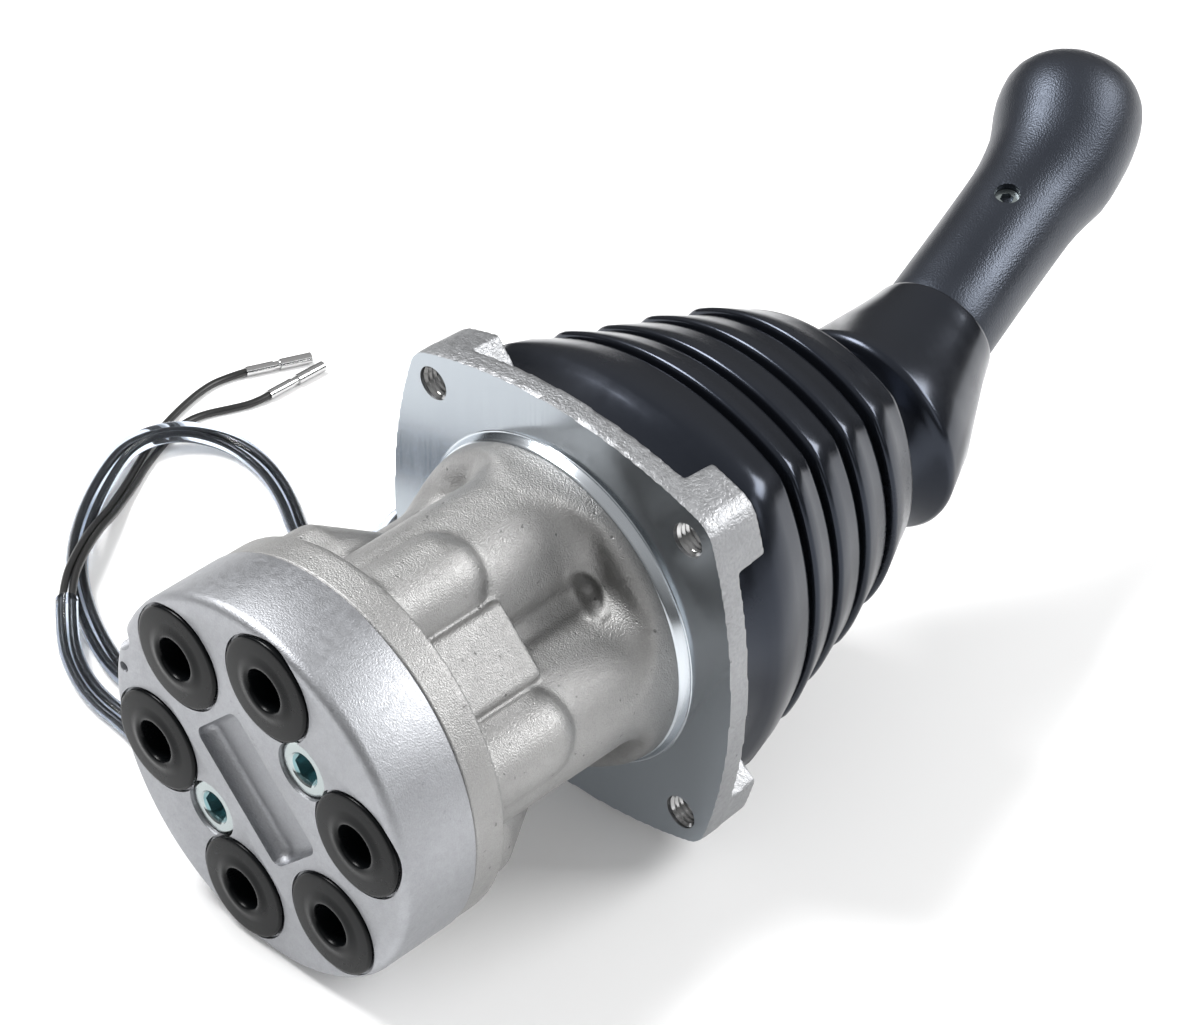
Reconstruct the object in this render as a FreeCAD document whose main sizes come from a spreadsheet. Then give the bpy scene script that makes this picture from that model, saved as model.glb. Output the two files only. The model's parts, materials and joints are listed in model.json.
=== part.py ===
import FreeCAD, Part
import math
import os
import Sketcher
from FreeCAD import Placement, Rotation, Vector

# A hydraulic pilot joystick valve, lying on its port cover's rim and its flange's lower edge.
# Every piece is drawn upright, with z up the valve's axis from the port cover's front face,
# x and y along the sides of the square flange, and is then laid down by one common placement.

doc = FreeCAD.newDocument("pilot_joystick_valve")
sheet = doc.addObject("Spreadsheet::Sheet", "Dims")

DIMENSIONS = (
    # port cover
    ("cover_radius", 44.9), ("cover_thick", 20.0), ("edge_round", 1.0),
    ("port_circle", 31.6), ("port_angle", 34.7), ("screw_line", -45.0),
    ("port_bore", 6.6), ("port_depth", 15.0), ("passage", 3.6),
    ("spot_radius", 12.5), ("spot_depth", 1.0),
    ("screw_offset", 21.1), ("screw_head", 6.5), ("screw_head_high", 7.6), ("screw_sunk", 0.7),
    ("screw_shank", 4.0), ("screw_bite", 20.0), ("screw_socket", 3.4), ("socket_deep", 4.0),
    ("trough_long", 33.6), ("trough_wide", 18.6), ("trough_deep", 4.0), ("trough_corner", 3.0),
    ("notch_radius", 4.0), ("notch_angle", 201.9), ("dimple_radius", 1.3),
    # transit plugs
    ("plug_flange", 12.0), ("plug_flange_thick", 1.6), ("plug_body_long", 9.0), ("plug_hole", 4.9),
    ("plug_rim_wide", 1.5), ("plug_rim_high", 0.5), ("plug_wall", 1.5), ("plug_edge", 0.45),
    # body casting
    ("body_disc", 8.7), ("lobe_circle", 22.0), ("lobe_radius", 16.6), ("core_radius", 22.5),
    ("boss_radius", 10.4), ("boss_high", 36.5),
    ("slope_low", 21.0), ("slope_long", 20.0), ("slope_in", 8.0), ("slope_tip", 5.5),
    ("pad_out", 34.0), ("pad_wide", 18.0), ("pad_high", 33.5),
    ("drum_radius", 38.9), ("drum_high", 15.2), ("drum_edge", 5.0),
    ("spigot_radius", 39.5), ("spigot_high", 2.5), ("body_high", 67.2), ("flange_thick", 5.5),
    ("hole_pitch", 76.14), ("corner_round", 7.5), ("flange_bulge", 51.7), ("tap_radius", 3.4),
    ("ear_thick", 14.0), ("ear_wide", 20.0), ("ear_step", 5.0),
    ("nose_radius", 41.0), ("nose_high", 8.8),
    # retainer plate and guide bushings
    ("plate_radius", 36.0), ("plate_thick", 5.0), ("plate_hole", 4.7), ("plate_screw_circle", 29.0),
    ("plate_screw", 2.5), ("plate_head_high", 2.4),
    ("bush_flange", 8.4), ("bush_flange_thick", 2.6), ("bush_sleeve", 6.9), ("bush_long", 14.0),
    ("bush_groove_down", 9.5), ("running", 0.05), ("seat_gap", 0.1), ("chamber_deep", 51.5),
    ("wiper_radius", 5.6), ("wiper_high", 2.0), ("bush_ring", 0.7), ("port_ring", 0.9),
    ("port_ring_circle", 6.6),
    # pushers, seats, springs and spools
    ("pusher_radius", 3.75), ("pusher_dome", 4.0), ("pusher_gap", 1.1), ("pusher_collar", 6.2),
    ("pusher_collar_thick", 2.0), ("foot_deep", 24.5), ("pusher_hollow", 2.6), ("hollow_deep", 8.0),
    ("spring_seat_radius", 6.7), ("spring_seat_thick", 3.0), ("seat_boss", 4.0), ("seat_boss_high", 2.0),
    ("return_coil", 5.8), ("return_wire", 0.7), ("return_turns", 5.0),
    ("metering_coil", 3.2), ("metering_wire", 0.45), ("metering_turns", 4.5),
    ("spool_radius", 3.0), ("spool_gap", 1.5), ("shoulder_deep", 42.0), ("shoulder_radius", 3.9),
    ("shoulder_thick", 1.5), ("stem_radius", 1.5), ("stem_gap", 0.3), ("stem_deep", 16.5), ("spool_groove", 2.2),
    # universal joint and actuating disc
    ("pivot_rise", 13.0), ("fork_half", 10.0), ("fork_gap", 6.0), ("fork_wide", 12.0),
    ("base_flange", 12.0), ("base_flange_thick", 3.5), ("base_stud", 7.0),
    ("base_stud_long", 22.0), ("pin_radius", 2.5), ("pin_running", 0.04), ("cross_half", 5.8),
    ("cross_high", 9.0), ("bridge_low", 9.5), ("bridge_thick", 3.5), ("yoke_stud", 6.0),
    ("yoke_stud_rise", 38.0), ("disc_radius", 26.0), ("disc_rim", 5.0), ("cup_inside", 16.0),
    ("cup_wall", 3.0), ("cup_roof", 4.0), ("nut_flats", 19.0), ("nut_high", 7.0),
    # lever, grip and button
    ("rod_radius", 6.0), ("sleeve_radius", 9.0), ("sleeve_rise", 44.0), ("knee_rise", 68.0),
    ("cross_rise", 83.85), ("knee_bend", 18.0), ("rod_in_grip", 60.0),
    ("handle_tilt", 17.65), ("grip_start", 14.0), ("grip_radius", 14.1), ("screw_hole_at", 54.2),
    ("screw_hole_turn", 52.2),
    ("screw_hole", 3.1), ("set_screw", 2.95), ("set_screw_long", 6.2),
    ("button_radius", 6.2), ("button_travel", 2.0), ("button_gap", 0.1), ("button_high", 6.0),
    ("button_under", 1.9), ("button_rise", 2.2), ("button_dome", 11.0), ("button_stem", 2.0), ("switch_long", 11.0),
    # boot
    ("collar_radius", 15.4), ("collar_at", 18.5), ("neck_radius", 19.8), ("cone_radius", 26.2), ("boot_wall", 2.2),
    ("neck_shift", 1.9), ("neck_below", 9.5), ("lip_shift", 2.6), ("lip_below", 5.0),
    # cable
    ("sleeve_out", 2.7), ("wire_out", 0.95), ("crimp_out", 1.3), ("barrel_out", 1.45), ("floor_gap", 0.05),
    ("grommet_out", 4.2), ("grommet_long", 9.0), ("grommet_end", 50.5), ("exit_side", 15.0), ("exit_rise", 12.8),
)


class Size:
    """A number of the sheet that keeps the formula it came from."""

    def __init__(self, value, text):
        self.value = float(value)
        self.text = text

    def _join(self, other, sign, value):
        return Size(value, f"({self.text} {sign} {sized(other).text})")

    def __add__(self, other):
        return self._join(other, "+", self.value + sized(other).value)

    def __sub__(self, other):
        return self._join(other, "-", self.value - sized(other).value)

    def __mul__(self, other):
        return self._join(other, "*", self.value * sized(other).value)

    def __truediv__(self, other):
        return self._join(other, "/", self.value / sized(other).value)

    def __neg__(self):
        return Size(-self.value, f"(0 - {self.text})")


def sized(number):
    return number if isinstance(number, Size) else Size(number, repr(float(number)))


def cosine(angle):
    return Size(math.cos(math.radians(angle.value)), f"cos({angle.text})")


def sine(angle):
    return Size(math.sin(math.radians(angle.value)), f"sin({angle.text})")


def fill_sheet():
    """Write the dimensions into the sheet, one alias a row, and hand them out by name."""
    named = {}
    for row, (name, value) in enumerate(DIMENSIONS, start=1):
        sheet.set(f"A{row}", name)
        sheet.set(f"B{row}", repr(value))
        sheet.setAlias(f"B{row}", name)
        named[name] = Size(value, f"Dims.{name}")
    doc.recompute()
    return named


class Named:
    def __init__(self, values):
        self.__dict__.update(values)


D = Named(fill_sheet())

# Heights up the valve's axis, each counted from the one that it stands on
D.screw_reach = D.cover_thick + D.screw_bite
D.boss_end = D.cover_thick + D.boss_high
D.pad_end = D.cover_thick + D.pad_high
D.face_height = D.cover_thick + D.body_high
D.drum_start = D.face_height - D.drum_high
D.nose_height = D.face_height + D.nose_high
D.plate_top = D.nose_height + D.plate_thick
D.chamber_floor = D.nose_height - D.chamber_deep
D.pusher_foot = D.nose_height - D.foot_deep
D.pusher_hollow_top = D.nose_height - D.hollow_deep
D.spool_start = D.cover_thick + D.spool_gap
D.spool_shoulder = D.nose_height - D.shoulder_deep
D.stem_top = D.nose_height - D.stem_deep
D.pivot_height = D.plate_top + D.pivot_rise
D.yoke_stud_top = D.pivot_height + D.yoke_stud_rise
D.sleeve_top = D.pivot_height + D.sleeve_rise
D.knee_height = D.pivot_height + D.knee_rise
D.cross_height = D.pivot_height + D.cross_rise
D.exit_height = D.face_height + D.exit_rise

# The valve lies so that the cover's rim and the flange's lower side touch one floor.
lean = math.atan((D.flange_bulge.value - D.cover_radius.value) / (D.face_height.value - D.edge_round.value))
lying_turn = Rotation(Vector(1, 0, 0), math.degrees(lean) - 90.0)
LYING = Placement(lying_turn.multVec(Vector(0, 0, -D.face_height.value)), lying_turn)
FLOOR = LYING.multVec(Vector(0, D.cover_radius.value, D.edge_round.value)).z

# The four pusher stations stand on the flange's own axes.
STATIONS = (("right", 0.0), ("lower", 90.0), ("left", 180.0), ("upper", 270.0))
nodes = []


def keep(piece, name):
    """Name a finished piece, lay it down with the rest and list it for export."""
    piece.Label = name
    piece.Placement = LYING
    nodes.append(piece)
    return piece


# Drawing helpers for bodies and their sketches

def new_body(name):
    return doc.addObject("PartDesign::Body", "body_" + name)


def sketch_on(body, role="XY_Plane", height=None):
    plane = next(item for item in body.Origin.OriginFeatures if item.Role == role)
    sketch = body.newObject("Sketcher::SketchObject", "outline")
    sketch.AttachmentSupport = (plane, [""])
    sketch.MapMode = "FlatFace"
    if height is not None:
        sketch.setExpression("AttachmentOffset.Base.z", sized(height).text)
        sketch.AttachmentOffset = Placement(Vector(0, 0, sized(height).value), Rotation())
    return sketch


def bind(sketch, constraint, size):
    index = sketch.addConstraint(constraint)
    sketch.setExpression(f"Constraints[{index}]", size.text)


def pin_point(sketch, item, point, x, y):
    """Hold one point of the sketch at x, y from its origin."""
    x, y = sized(x), sized(y)
    bind(sketch, Sketcher.Constraint("DistanceX", -1, 1, item, point, x.value), x)
    bind(sketch, Sketcher.Constraint("DistanceY", -1, 1, item, point, y.value), y)


def draw_circle(sketch, x, y, radius):
    x, y, radius = sized(x), sized(y), sized(radius)
    circle = Part.Circle(Vector(x.value, y.value, 0), Vector(0, 0, 1), radius.value)
    item = sketch.addGeometry(circle, False)
    bind(sketch, Sketcher.Constraint("Radius", item, radius.value), radius)
    pin_point(sketch, item, 3, x, y)
    return item


def draw_outline(sketch, corners):
    """A closed outline of straight lines whose corners are all held by sizes."""
    corners = [(sized(x), sized(y)) for x, y in corners]
    ends = [Vector(x.value, y.value, 0) for x, y in corners]
    count = len(ends)
    items = [sketch.addGeometry(Part.LineSegment(ends[k], ends[(k + 1) % count]), False) for k in range(count)]
    for k in range(count):
        sketch.addConstraint(Sketcher.Constraint("Coincident", items[k], 2, items[(k + 1) % count], 1))
        pin_point(sketch, items[k], 1, *corners[k])
    return items


def pad(body, sketch, length, downwards=False):
    feature = body.newObject("PartDesign::Pad", "pad")
    feature.Profile = sketch
    feature.Reversed = downwards
    feature.setExpression("Length", sized(length).text)
    doc.recompute()
    return feature


def pocket(body, sketch, length, upwards=True):
    """Cut a sketch into the body, upwards from its plane unless told otherwise."""
    before = body.Shape.Volume
    feature = body.newObject("PartDesign::Pocket", "pocket")
    feature.Profile = sketch
    feature.Reversed = upwards
    feature.setExpression("Length", sized(length).text)
    doc.recompute()
    if body.Shape.Volume >= before:
        raise ValueError(f"a pocket cut nothing in {body.Name}")
    return feature


def shift_sketch(sketch, place):
    """Stand a half section's axis at x, y; the section's plane looks along -y."""
    x, y = (sized(size) for size in place)
    sketch.setExpression("AttachmentOffset.Base.x", x.text)
    sketch.setExpression("AttachmentOffset.Base.z", (-y).text)
    sketch.AttachmentOffset = Placement(Vector(x.value, 0, -y.value), Rotation())


def revolve(body, sketch):
    feature = body.newObject("PartDesign::Revolution", "turn")
    feature.Profile = sketch
    feature.ReferenceAxis = (sketch, ["V_Axis"])
    feature.Angle = 360.0
    doc.recompute()
    return feature


def turned_body(name, profile, place=(0.0, 0.0)):
    """A piece made by revolving a half section, given as (radius, height) corners."""
    body = new_body(name)
    sketch = sketch_on(body, "XZ_Plane")
    shift_sketch(sketch, place)
    draw_outline(sketch, profile)
    revolve(body, sketch)
    return body


def polar(radius, angle):
    return radius * cosine(angle), radius * sine(angle)


def bolt_circle(radius, angles):
    return [polar(radius, angle) for angle in angles]


# Solids made by rule, where no sketch or primitive fits

def upright(radius, low, high, x=0.0, y=0.0):
    return Part.makeCylinder(radius, high - low, Vector(x, y, low))


def compound_piece(name, solids):
    piece = doc.addObject("Part::Feature", "piece_" + name)
    piece.Shape = solids[0] if len(solids) == 1 else Part.makeCompound(solids)
    return keep(piece, name)


def edge_arc(centre, radius, start, end):
    """An arc through degrees start to end, round a centre in the plane z = centre.z."""
    def at(turn):
        turn = math.radians(turn)
        return centre + Vector(radius * math.cos(turn), radius * math.sin(turn), 0)
    return Part.Arc(at(start), at((start + end) / 2), at(end)).toShape()


def square_figures(bulge, pitch, corner):
    """The side arcs' radius and the turn where they meet the corner arcs, for a square
    with corner arcs round (pitch, pitch) and sides that bulge out to bulge."""
    radius = (pitch ** 2 + (pitch - bulge) ** 2 - corner ** 2) / (2 * (bulge - pitch - corner))
    return radius, math.degrees(math.atan2(pitch, pitch - bulge + radius))


def square_wire(bulge, pitch, corner, height):
    """A square outline of four bulged sides and four round corners, tangent all round."""
    radius, half = square_figures(bulge, pitch, corner)
    edges = []
    for quarter in range(4):
        turn = 90.0 * quarter
        spin = Rotation(Vector(0, 0, 1), turn)
        side_centre = spin.multVec(Vector(bulge - radius, 0, 0)) + Vector(0, 0, height)
        corner_centre = spin.multVec(Vector(pitch, pitch, 0)) + Vector(0, 0, height)
        edges.append(edge_arc(side_centre, radius, turn - half, turn + half))
        edges.append(edge_arc(corner_centre, corner, turn + half, turn + 90.0 - half))
    return Part.Wire(Part.__sortEdges__(edges))


# Port cover, its screws and its transit plugs

def port_places():
    """Two ports square to the line of the screws and two either side of each screw."""
    screw_side = D.screw_line
    turns = [screw_side + 90.0, screw_side - 90.0]
    for end in (0.0, 180.0):
        turns.append(screw_side + D.port_angle + end)
        turns.append(screw_side - D.port_angle + end)
    return bolt_circle(D.port_circle, turns)


def screw_places():
    return bolt_circle(D.screw_offset, [D.screw_line, D.screw_line + 180.0])


def port_cover():
    body = new_body("port_cover")
    outline = sketch_on(body)
    draw_circle(outline, 0, 0, D.cover_radius)
    disc = pad(body, outline, D.cover_thick)
    rim = [f"Edge{n + 1}" for n, edge in enumerate(disc.Shape.Edges)
           if abs(edge.BoundBox.ZMax) < 1e-6]
    rounding = body.newObject("PartDesign::Fillet", "front_round")
    rounding.Base = (disc, rim)
    rounding.setExpression("Radius", D.edge_round.text)
    doc.recompute()
    spots = sketch_on(body)
    for x, y in port_places():
        draw_circle(spots, x, y, D.spot_radius)
    pocket(body, spots, D.spot_depth)
    bores = sketch_on(body)
    for x, y in port_places():
        draw_circle(bores, x, y, D.port_bore)
    pocket(body, bores, D.port_depth)
    heads = sketch_on(body)
    for x, y in screw_places():
        draw_circle(heads, x, y, D.screw_head + 0.3)
    pocket(body, heads, D.screw_head_high + D.screw_sunk)
    through = sketch_on(body)
    for x, y in port_places():
        draw_circle(through, x, y, D.passage)
    for x, y in screw_places():
        draw_circle(through, x, y, D.screw_shank + 0.3)
    draw_circle(through, *polar(D.cover_radius + D.notch_radius * 0.15, D.notch_angle), D.notch_radius)
    pocket(body, through, D.cover_thick + 1.0)
    dimple = sketch_on(body)
    draw_circle(dimple, *polar(D.cover_radius - 3.2, D.notch_angle - 10.0), D.dimple_radius)
    pocket(body, dimple, D.dimple_radius)
    trough = sketch_on(body)
    draw_trough(trough)
    pocket(body, trough, D.trough_deep)
    return keep(body, "port_cover")


def draw_trough(sketch):
    """The cast trough between the screws: four straight sides joined by round corners."""
    along = Vector(math.cos(math.radians(D.screw_line.value)), math.sin(math.radians(D.screw_line.value)), 0)
    across = Vector(-along.y, along.x, 0)
    half_u = D.trough_wide / 2.0
    half_v = D.trough_long / 2.0
    r = D.trough_corner
    cos_a, sin_a = cosine(D.screw_line), sine(D.screw_line)
    items = []
    for sign_u, sign_v in ((1, 1), (-1, 1), (-1, -1), (1, -1)):
        cu = (half_u - r) * sign_u
        cv = (half_v - r) * sign_v
        centre = along * cu.value + across * cv.value
        first, second = along * sign_u, across * sign_v
        if sign_u * sign_v < 0:
            first, second = second, first
        start = math.atan2(first.y, first.x)
        arc = Part.ArcOfCircle(Part.Circle(centre, Vector(0, 0, 1), r.value), start, start + math.pi / 2)
        item = sketch.addGeometry(arc, False)
        bind(sketch, Sketcher.Constraint("Radius", item, r.value), r)
        pin_point(sketch, item, 3, cu * cos_a - cv * sin_a, cu * sin_a + cv * cos_a)
        items.append(item)
    for k in range(4):
        after = items[(k + 1) % 4]
        ends = [sketch.getPoint(items[k], 2), sketch.getPoint(after, 1)]
        line = sketch.addGeometry(Part.LineSegment(*ends), False)
        sketch.addConstraint(Sketcher.Constraint("Tangent", items[k], 2, line, 1))
        sketch.addConstraint(Sketcher.Constraint("Tangent", line, 2, after, 1))


def hex_prism(across_flats, low, high, x=0.0, y=0.0, turn=0.0):
    radius = across_flats / math.sqrt(3.0)
    corners = []
    for k in range(7):
        at = math.radians(60.0 * k + turn)
        corners.append(Vector(x + radius * math.cos(at), y + radius * math.sin(at), low))
    return Part.Face(Part.makePolygon(corners)).extrude(Vector(0, 0, high - low))


def cover_screws():
    solids = []
    top = D.screw_sunk.value
    shoulder = top + D.screw_head_high.value
    for x, y in screw_places():
        head = upright(D.screw_head.value, top, shoulder, x.value, y.value)
        rim = [edge for edge in head.Edges if abs(edge.BoundBox.ZMax - top) < 1e-6]
        head = head.makeChamfer(0.6, rim)
        shank = upright(D.screw_shank.value, shoulder, D.screw_reach.value, x.value, y.value)
        socket = hex_prism(2 * D.screw_socket.value, top - 1, top + D.socket_deep.value, x.value, y.value)
        solids.append(head.fuse(shank).cut(socket).removeSplitter())
    compound_piece("cover_screws", solids)


def port_plugs():
    """Flanged plastic plugs with a raised ring round a blind hole, pressed into the ports."""
    flange_top = D.spot_depth.value - D.plug_flange_thick.value
    solids = []
    for x, y in port_places():
        x, y = x.value, y.value
        flange = upright(D.plug_flange.value, flange_top, D.spot_depth.value, x, y)
        rim = [edge for edge in flange.Edges if abs(edge.BoundBox.ZMax - flange_top) < 1e-6]
        flange = flange.makeChamfer(D.plug_edge.value, rim)
        ring_top = flange_top - D.plug_rim_high.value
        ring = upright(D.plug_hole.value + D.plug_rim_wide.value, ring_top, flange_top + 0.1, x, y)
        crown = [edge for edge in ring.Edges if abs(edge.BoundBox.ZMax - ring_top) < 1e-6]
        ring = ring.makeChamfer(D.plug_edge.value * 0.8, crown)
        stem_end = D.spot_depth.value + D.plug_body_long.value
        stem = upright(D.port_bore.value - 0.02, D.spot_depth.value, stem_end, x, y)
        hole = upright(D.plug_hole.value, ring_top - 1, stem_end - D.plug_wall.value, x, y)
        solids.append(flange.fuse([ring, stem]).cut(hole).removeSplitter())
    compound_piece("port_plugs", solids)


# Body casting

def flange_sketch(body, height):
    """The square flange: corner arcs round the tapped holes and bulged side arcs."""
    sketch = sketch_on(body, "XY_Plane", height)
    half_pitch = D.hole_pitch / 2.0
    radius, half = square_figures(D.flange_bulge.value, half_pitch.value, D.corner_round.value)
    arcs = []
    for quarter in range(4):
        turn = 90.0 * quarter
        spin = Rotation(Vector(0, 0, 1), turn)
        for centre, size, start, end in (
                (spin.multVec(Vector(D.flange_bulge.value - radius, 0, 0)), radius, turn - half, turn + half),
                (spin.multVec(Vector(half_pitch.value, half_pitch.value, 0)), D.corner_round.value,
                 turn + half, turn + 90.0 - half)):
            circle = Part.Circle(centre, Vector(0, 0, 1), size)
            arcs.append(sketch.addGeometry(Part.ArcOfCircle(circle, math.radians(start), math.radians(end)), False))
    for k in range(8):
        sketch.addConstraint(Sketcher.Constraint("Tangent", arcs[k], 2, arcs[(k + 1) % 8], 1))
    for quarter, (sign_x, sign_y) in enumerate(((1, 1), (-1, 1), (-1, -1), (1, -1))):
        corner = arcs[2 * quarter + 1]
        bind(sketch, Sketcher.Constraint("Radius", corner, D.corner_round.value), D.corner_round)
        pin_point(sketch, corner, 3, half_pitch * sign_x, half_pitch * sign_y)
    reach = D.flange_bulge - half_pitch
    fitted = (half_pitch * half_pitch + reach * reach - D.corner_round * D.corner_round) \
        / ((reach - D.corner_round) * 2.0)
    for quarter in range(4):
        bind(sketch, Sketcher.Constraint("Radius", arcs[2 * quarter], fitted.value), fitted)
    return sketch


def station_places(radius):
    return [polar(radius, sized(turn)) for _, turn in STATIONS]


def valve_body():
    body = new_body("valve_body")
    low = D.cover_thick
    disc = sketch_on(body, "XY_Plane", low)
    draw_circle(disc, 0, 0, D.cover_radius - 0.3)
    pad(body, disc, D.body_disc)
    core = sketch_on(body, "XY_Plane", low)
    draw_circle(core, 0, 0, D.core_radius)
    pad(body, core, D.nose_height - low)
    for x, y in station_places(D.lobe_circle):
        lobe = sketch_on(body, "XY_Plane", low)
        draw_circle(lobe, x, y, D.lobe_radius)
        pad(body, lobe, D.face_height - low)
    for x, y in port_places()[2:]:
        boss = sketch_on(body, "XY_Plane", low)
        draw_circle(boss, x, y, D.boss_radius)
        pad(body, boss, D.boss_end - D.boss_radius - low)
        dome = body.newObject("PartDesign::AdditiveSphere", "boss_dome")
        dome.AttachmentSupport = boss.AttachmentSupport
        dome.MapMode = "FlatFace"
        dome.AttachmentOffset = Placement(
            Vector(x.value, y.value, (D.boss_end - D.boss_radius).value), Rotation())
        for axis, size in (("x", x), ("y", y), ("z", D.boss_end - D.boss_radius)):
            dome.setExpression(f"AttachmentOffset.Base.{axis}", size.text)
        dome.setExpression("Radius", D.boss_radius.text)
        doc.recompute()
    for turn in (D.screw_line + 90.0, D.screw_line - 90.0):
        sloped_boss(body, turn)
    for side in (1, -1):
        flat = sketch_on(body, "XY_Plane", low)
        along, across = D.pad_out * side, D.pad_wide / 2.0
        cos_a, sin_a = cosine(D.screw_line), sine(D.screw_line)
        draw_outline(flat, [(u * cos_a - v * sin_a, u * sin_a + v * cos_a)
                            for u, v in ((sized(0), across), (along, across), (along, -across), (sized(0), -across))])
        pad(body, flat, D.pad_end - low)
    drum = sketch_on(body, "XZ_Plane")
    edge, start, reach = D.drum_radius, D.drum_start, D.drum_edge
    draw_outline(drum, [(0, start), (edge - reach, start), (edge - reach * 0.45, start + reach * 0.16),
                        (edge - reach * 0.12, start + reach * 0.5), (edge, start + reach),
                        (edge, D.face_height - D.spigot_high), (0, D.face_height - D.spigot_high)])
    revolve(body, drum)
    spigot = sketch_on(body, "XY_Plane", D.face_height - D.spigot_high)
    draw_circle(spigot, 0, 0, D.spigot_radius)
    pad(body, spigot, D.spigot_high + 1.0)
    pad(body, flange_sketch(body, D.face_height), D.flange_thick)
    nose = sketch_on(body, "XY_Plane", D.face_height)
    draw_circle(nose, 0, 0, D.nose_radius)
    pad(body, nose, D.nose_height - D.face_height)
    ears(body)
    cavities(body)
    return keep(body, "valve_body")


def sloped_boss(body, turn):
    """The boss of a port square to the screws, whose outer side slopes in to the valley."""
    foot = sketch_on(body, "XY_Plane", D.cover_thick)
    draw_circle(foot, *polar(D.port_circle, turn), D.boss_radius)
    pad(body, foot, D.slope_low)
    wide = sketch_on(body, "XY_Plane", D.cover_thick + D.slope_low)
    draw_circle(wide, *polar(D.port_circle, turn), D.boss_radius)
    tip = sketch_on(body, "XY_Plane", D.cover_thick + D.slope_low + D.slope_long)
    draw_circle(tip, *polar(D.port_circle - D.slope_in, turn), D.slope_tip)
    slope = body.newObject("PartDesign::AdditiveLoft", "slope")
    slope.Profile = wide
    slope.Sections = [tip]
    doc.recompute()


def ears(body):
    """Thick tapped ears behind the flange's corners, each with a step on its inner side."""
    half_pitch = D.hole_pitch / 2.0
    for turn in (45.0, 135.0, 225.0, 315.0):
        sketch = sketch_on(body, "XY_Plane", D.face_height)
        cos_a, sin_a = cosine(sized(turn)), sine(sized(turn))
        out = half_pitch * math.sqrt(2.0)
        tip = out + D.corner_round - 1.2
        wide, inner = D.ear_wide / 2.0, out - D.ear_step - 1.5
        nip = wide * 0.45
        corners = ((inner, wide), (out - 1.5, wide), (tip, nip), (tip, -nip), (out - 1.5, -wide), (inner, -wide))
        draw_outline(sketch, [(sized(u) * cos_a - sized(v) * sin_a, sized(u) * sin_a + sized(v) * cos_a)
                              for u, v in corners])
        pad(body, sketch, D.ear_thick)


def cavities(body):
    """Spring chambers, spool bores, port passages, screw threads and the tapped holes."""
    low, top = D.cover_thick, D.nose_height
    cuts = (
        (D.face_height, flange_holes(), D.tap_radius, D.ear_thick + 1.0),
        (D.chamber_floor, station_places(D.lobe_circle), D.bush_sleeve + D.seat_gap, top - D.chamber_floor + 1.0),
        (top - D.bush_flange_thick, station_places(D.lobe_circle), D.bush_flange + D.seat_gap,
         D.bush_flange_thick + 1.0),
        (low, station_places(D.lobe_circle), D.spool_radius + 0.02, D.chamber_floor - low + 1.0),
        (low, port_places(), D.passage, D.chamber_floor - low - 4.0),
        (low, screw_places(), D.screw_shank + 0.02, D.screw_reach - low + 3.0),
        (low, port_places(), D.port_ring_circle + D.port_ring + 0.1, D.port_ring * 2.0),
        (top - D.base_stud_long, [(sized(0), sized(0))], D.base_stud + 0.02, D.base_stud_long + 1.0),
        (top - 12.0, plate_screw_places(), D.plate_screw + 0.02, sized(13.0)),
    )
    for height, places, radius, depth in cuts:
        sketch = sketch_on(body, "XY_Plane", height)
        for x, y in places:
            draw_circle(sketch, x, y, radius)
        pocket(body, sketch, depth)


def flange_holes():
    half_pitch = D.hole_pitch / 2.0
    return [(half_pitch * sx, half_pitch * sy) for sx, sy in ((1, 1), (-1, 1), (-1, -1), (1, -1))]


def plate_screw_places():
    return bolt_circle(D.plate_screw_circle, [sized(turn) for turn in (45.0, 135.0, 225.0, 315.0)])


def square_ring(mean, half, low, x, y):
    """A seal ring of square section, half its width either side of its mean radius."""
    return upright(mean + half, low, low + 2 * half, x, y).cut(upright(mean - half, low - 1, low + 2 * half + 1, x, y))


def port_seals():
    """Rings in counterbores between the cover and the body, one round each passage."""
    compound_piece("port_seal_rings", [square_ring(
        D.port_ring_circle.value, D.port_ring.value, D.cover_thick.value, x.value, y.value)
        for x, y in port_places()])


# Retainer plate, guide bushings and their seals

def retainer_plate():
    body = new_body("retainer_plate")
    outline = sketch_on(body, "XY_Plane", D.nose_height)
    draw_circle(outline, 0, 0, D.plate_radius)
    for x, y in station_places(D.lobe_circle):
        draw_circle(outline, x, y, D.plate_hole)
    for x, y in plate_screw_places():
        draw_circle(outline, x, y, D.plate_screw + 0.2)
    draw_circle(outline, 0, 0, D.base_stud + 0.1)
    pad(body, outline, D.plate_thick)
    top = D.plate_top
    for x, y in plate_screw_places():
        sink = body.newObject("PartDesign::SubtractiveCone", "countersink")
        sink.AttachmentSupport = outline.AttachmentSupport
        sink.MapMode = "FlatFace"
        sink.AttachmentOffset = Placement(Vector(x.value, y.value, (top - D.plate_head_high).value), Rotation())
        for axis, size in (("x", x), ("y", y), ("z", top - D.plate_head_high)):
            sink.setExpression(f"AttachmentOffset.Base.{axis}", size.text)
        sink.setExpression("Radius1", (D.plate_screw + 0.1).text)
        sink.setExpression("Radius2", (D.plate_screw + D.plate_head_high + 0.1).text)
        sink.setExpression("Height", D.plate_head_high.text)
        doc.recompute()
    return keep(body, "retainer_plate")


def plate_screws():
    """Countersunk socket screws, flush with the plate's top."""
    top = D.plate_top.value
    size, head = D.plate_screw.value, D.plate_head_high.value
    solids = []
    for x, y in plate_screw_places():
        shank = upright(size - 0.02, D.nose_height.value - 9.0, top - head + 0.01, x.value, y.value)
        cone = Part.makeCone(size - 0.02, size + head - 0.1, head - 0.1, Vector(x.value, y.value, top - head))
        socket = hex_prism(3.0, top - 2.2, top + 1, x.value, y.value)
        solids.append(shank.fuse(cone).cut(socket).removeSplitter())
    compound_piece("plate_screws", solids)


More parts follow.
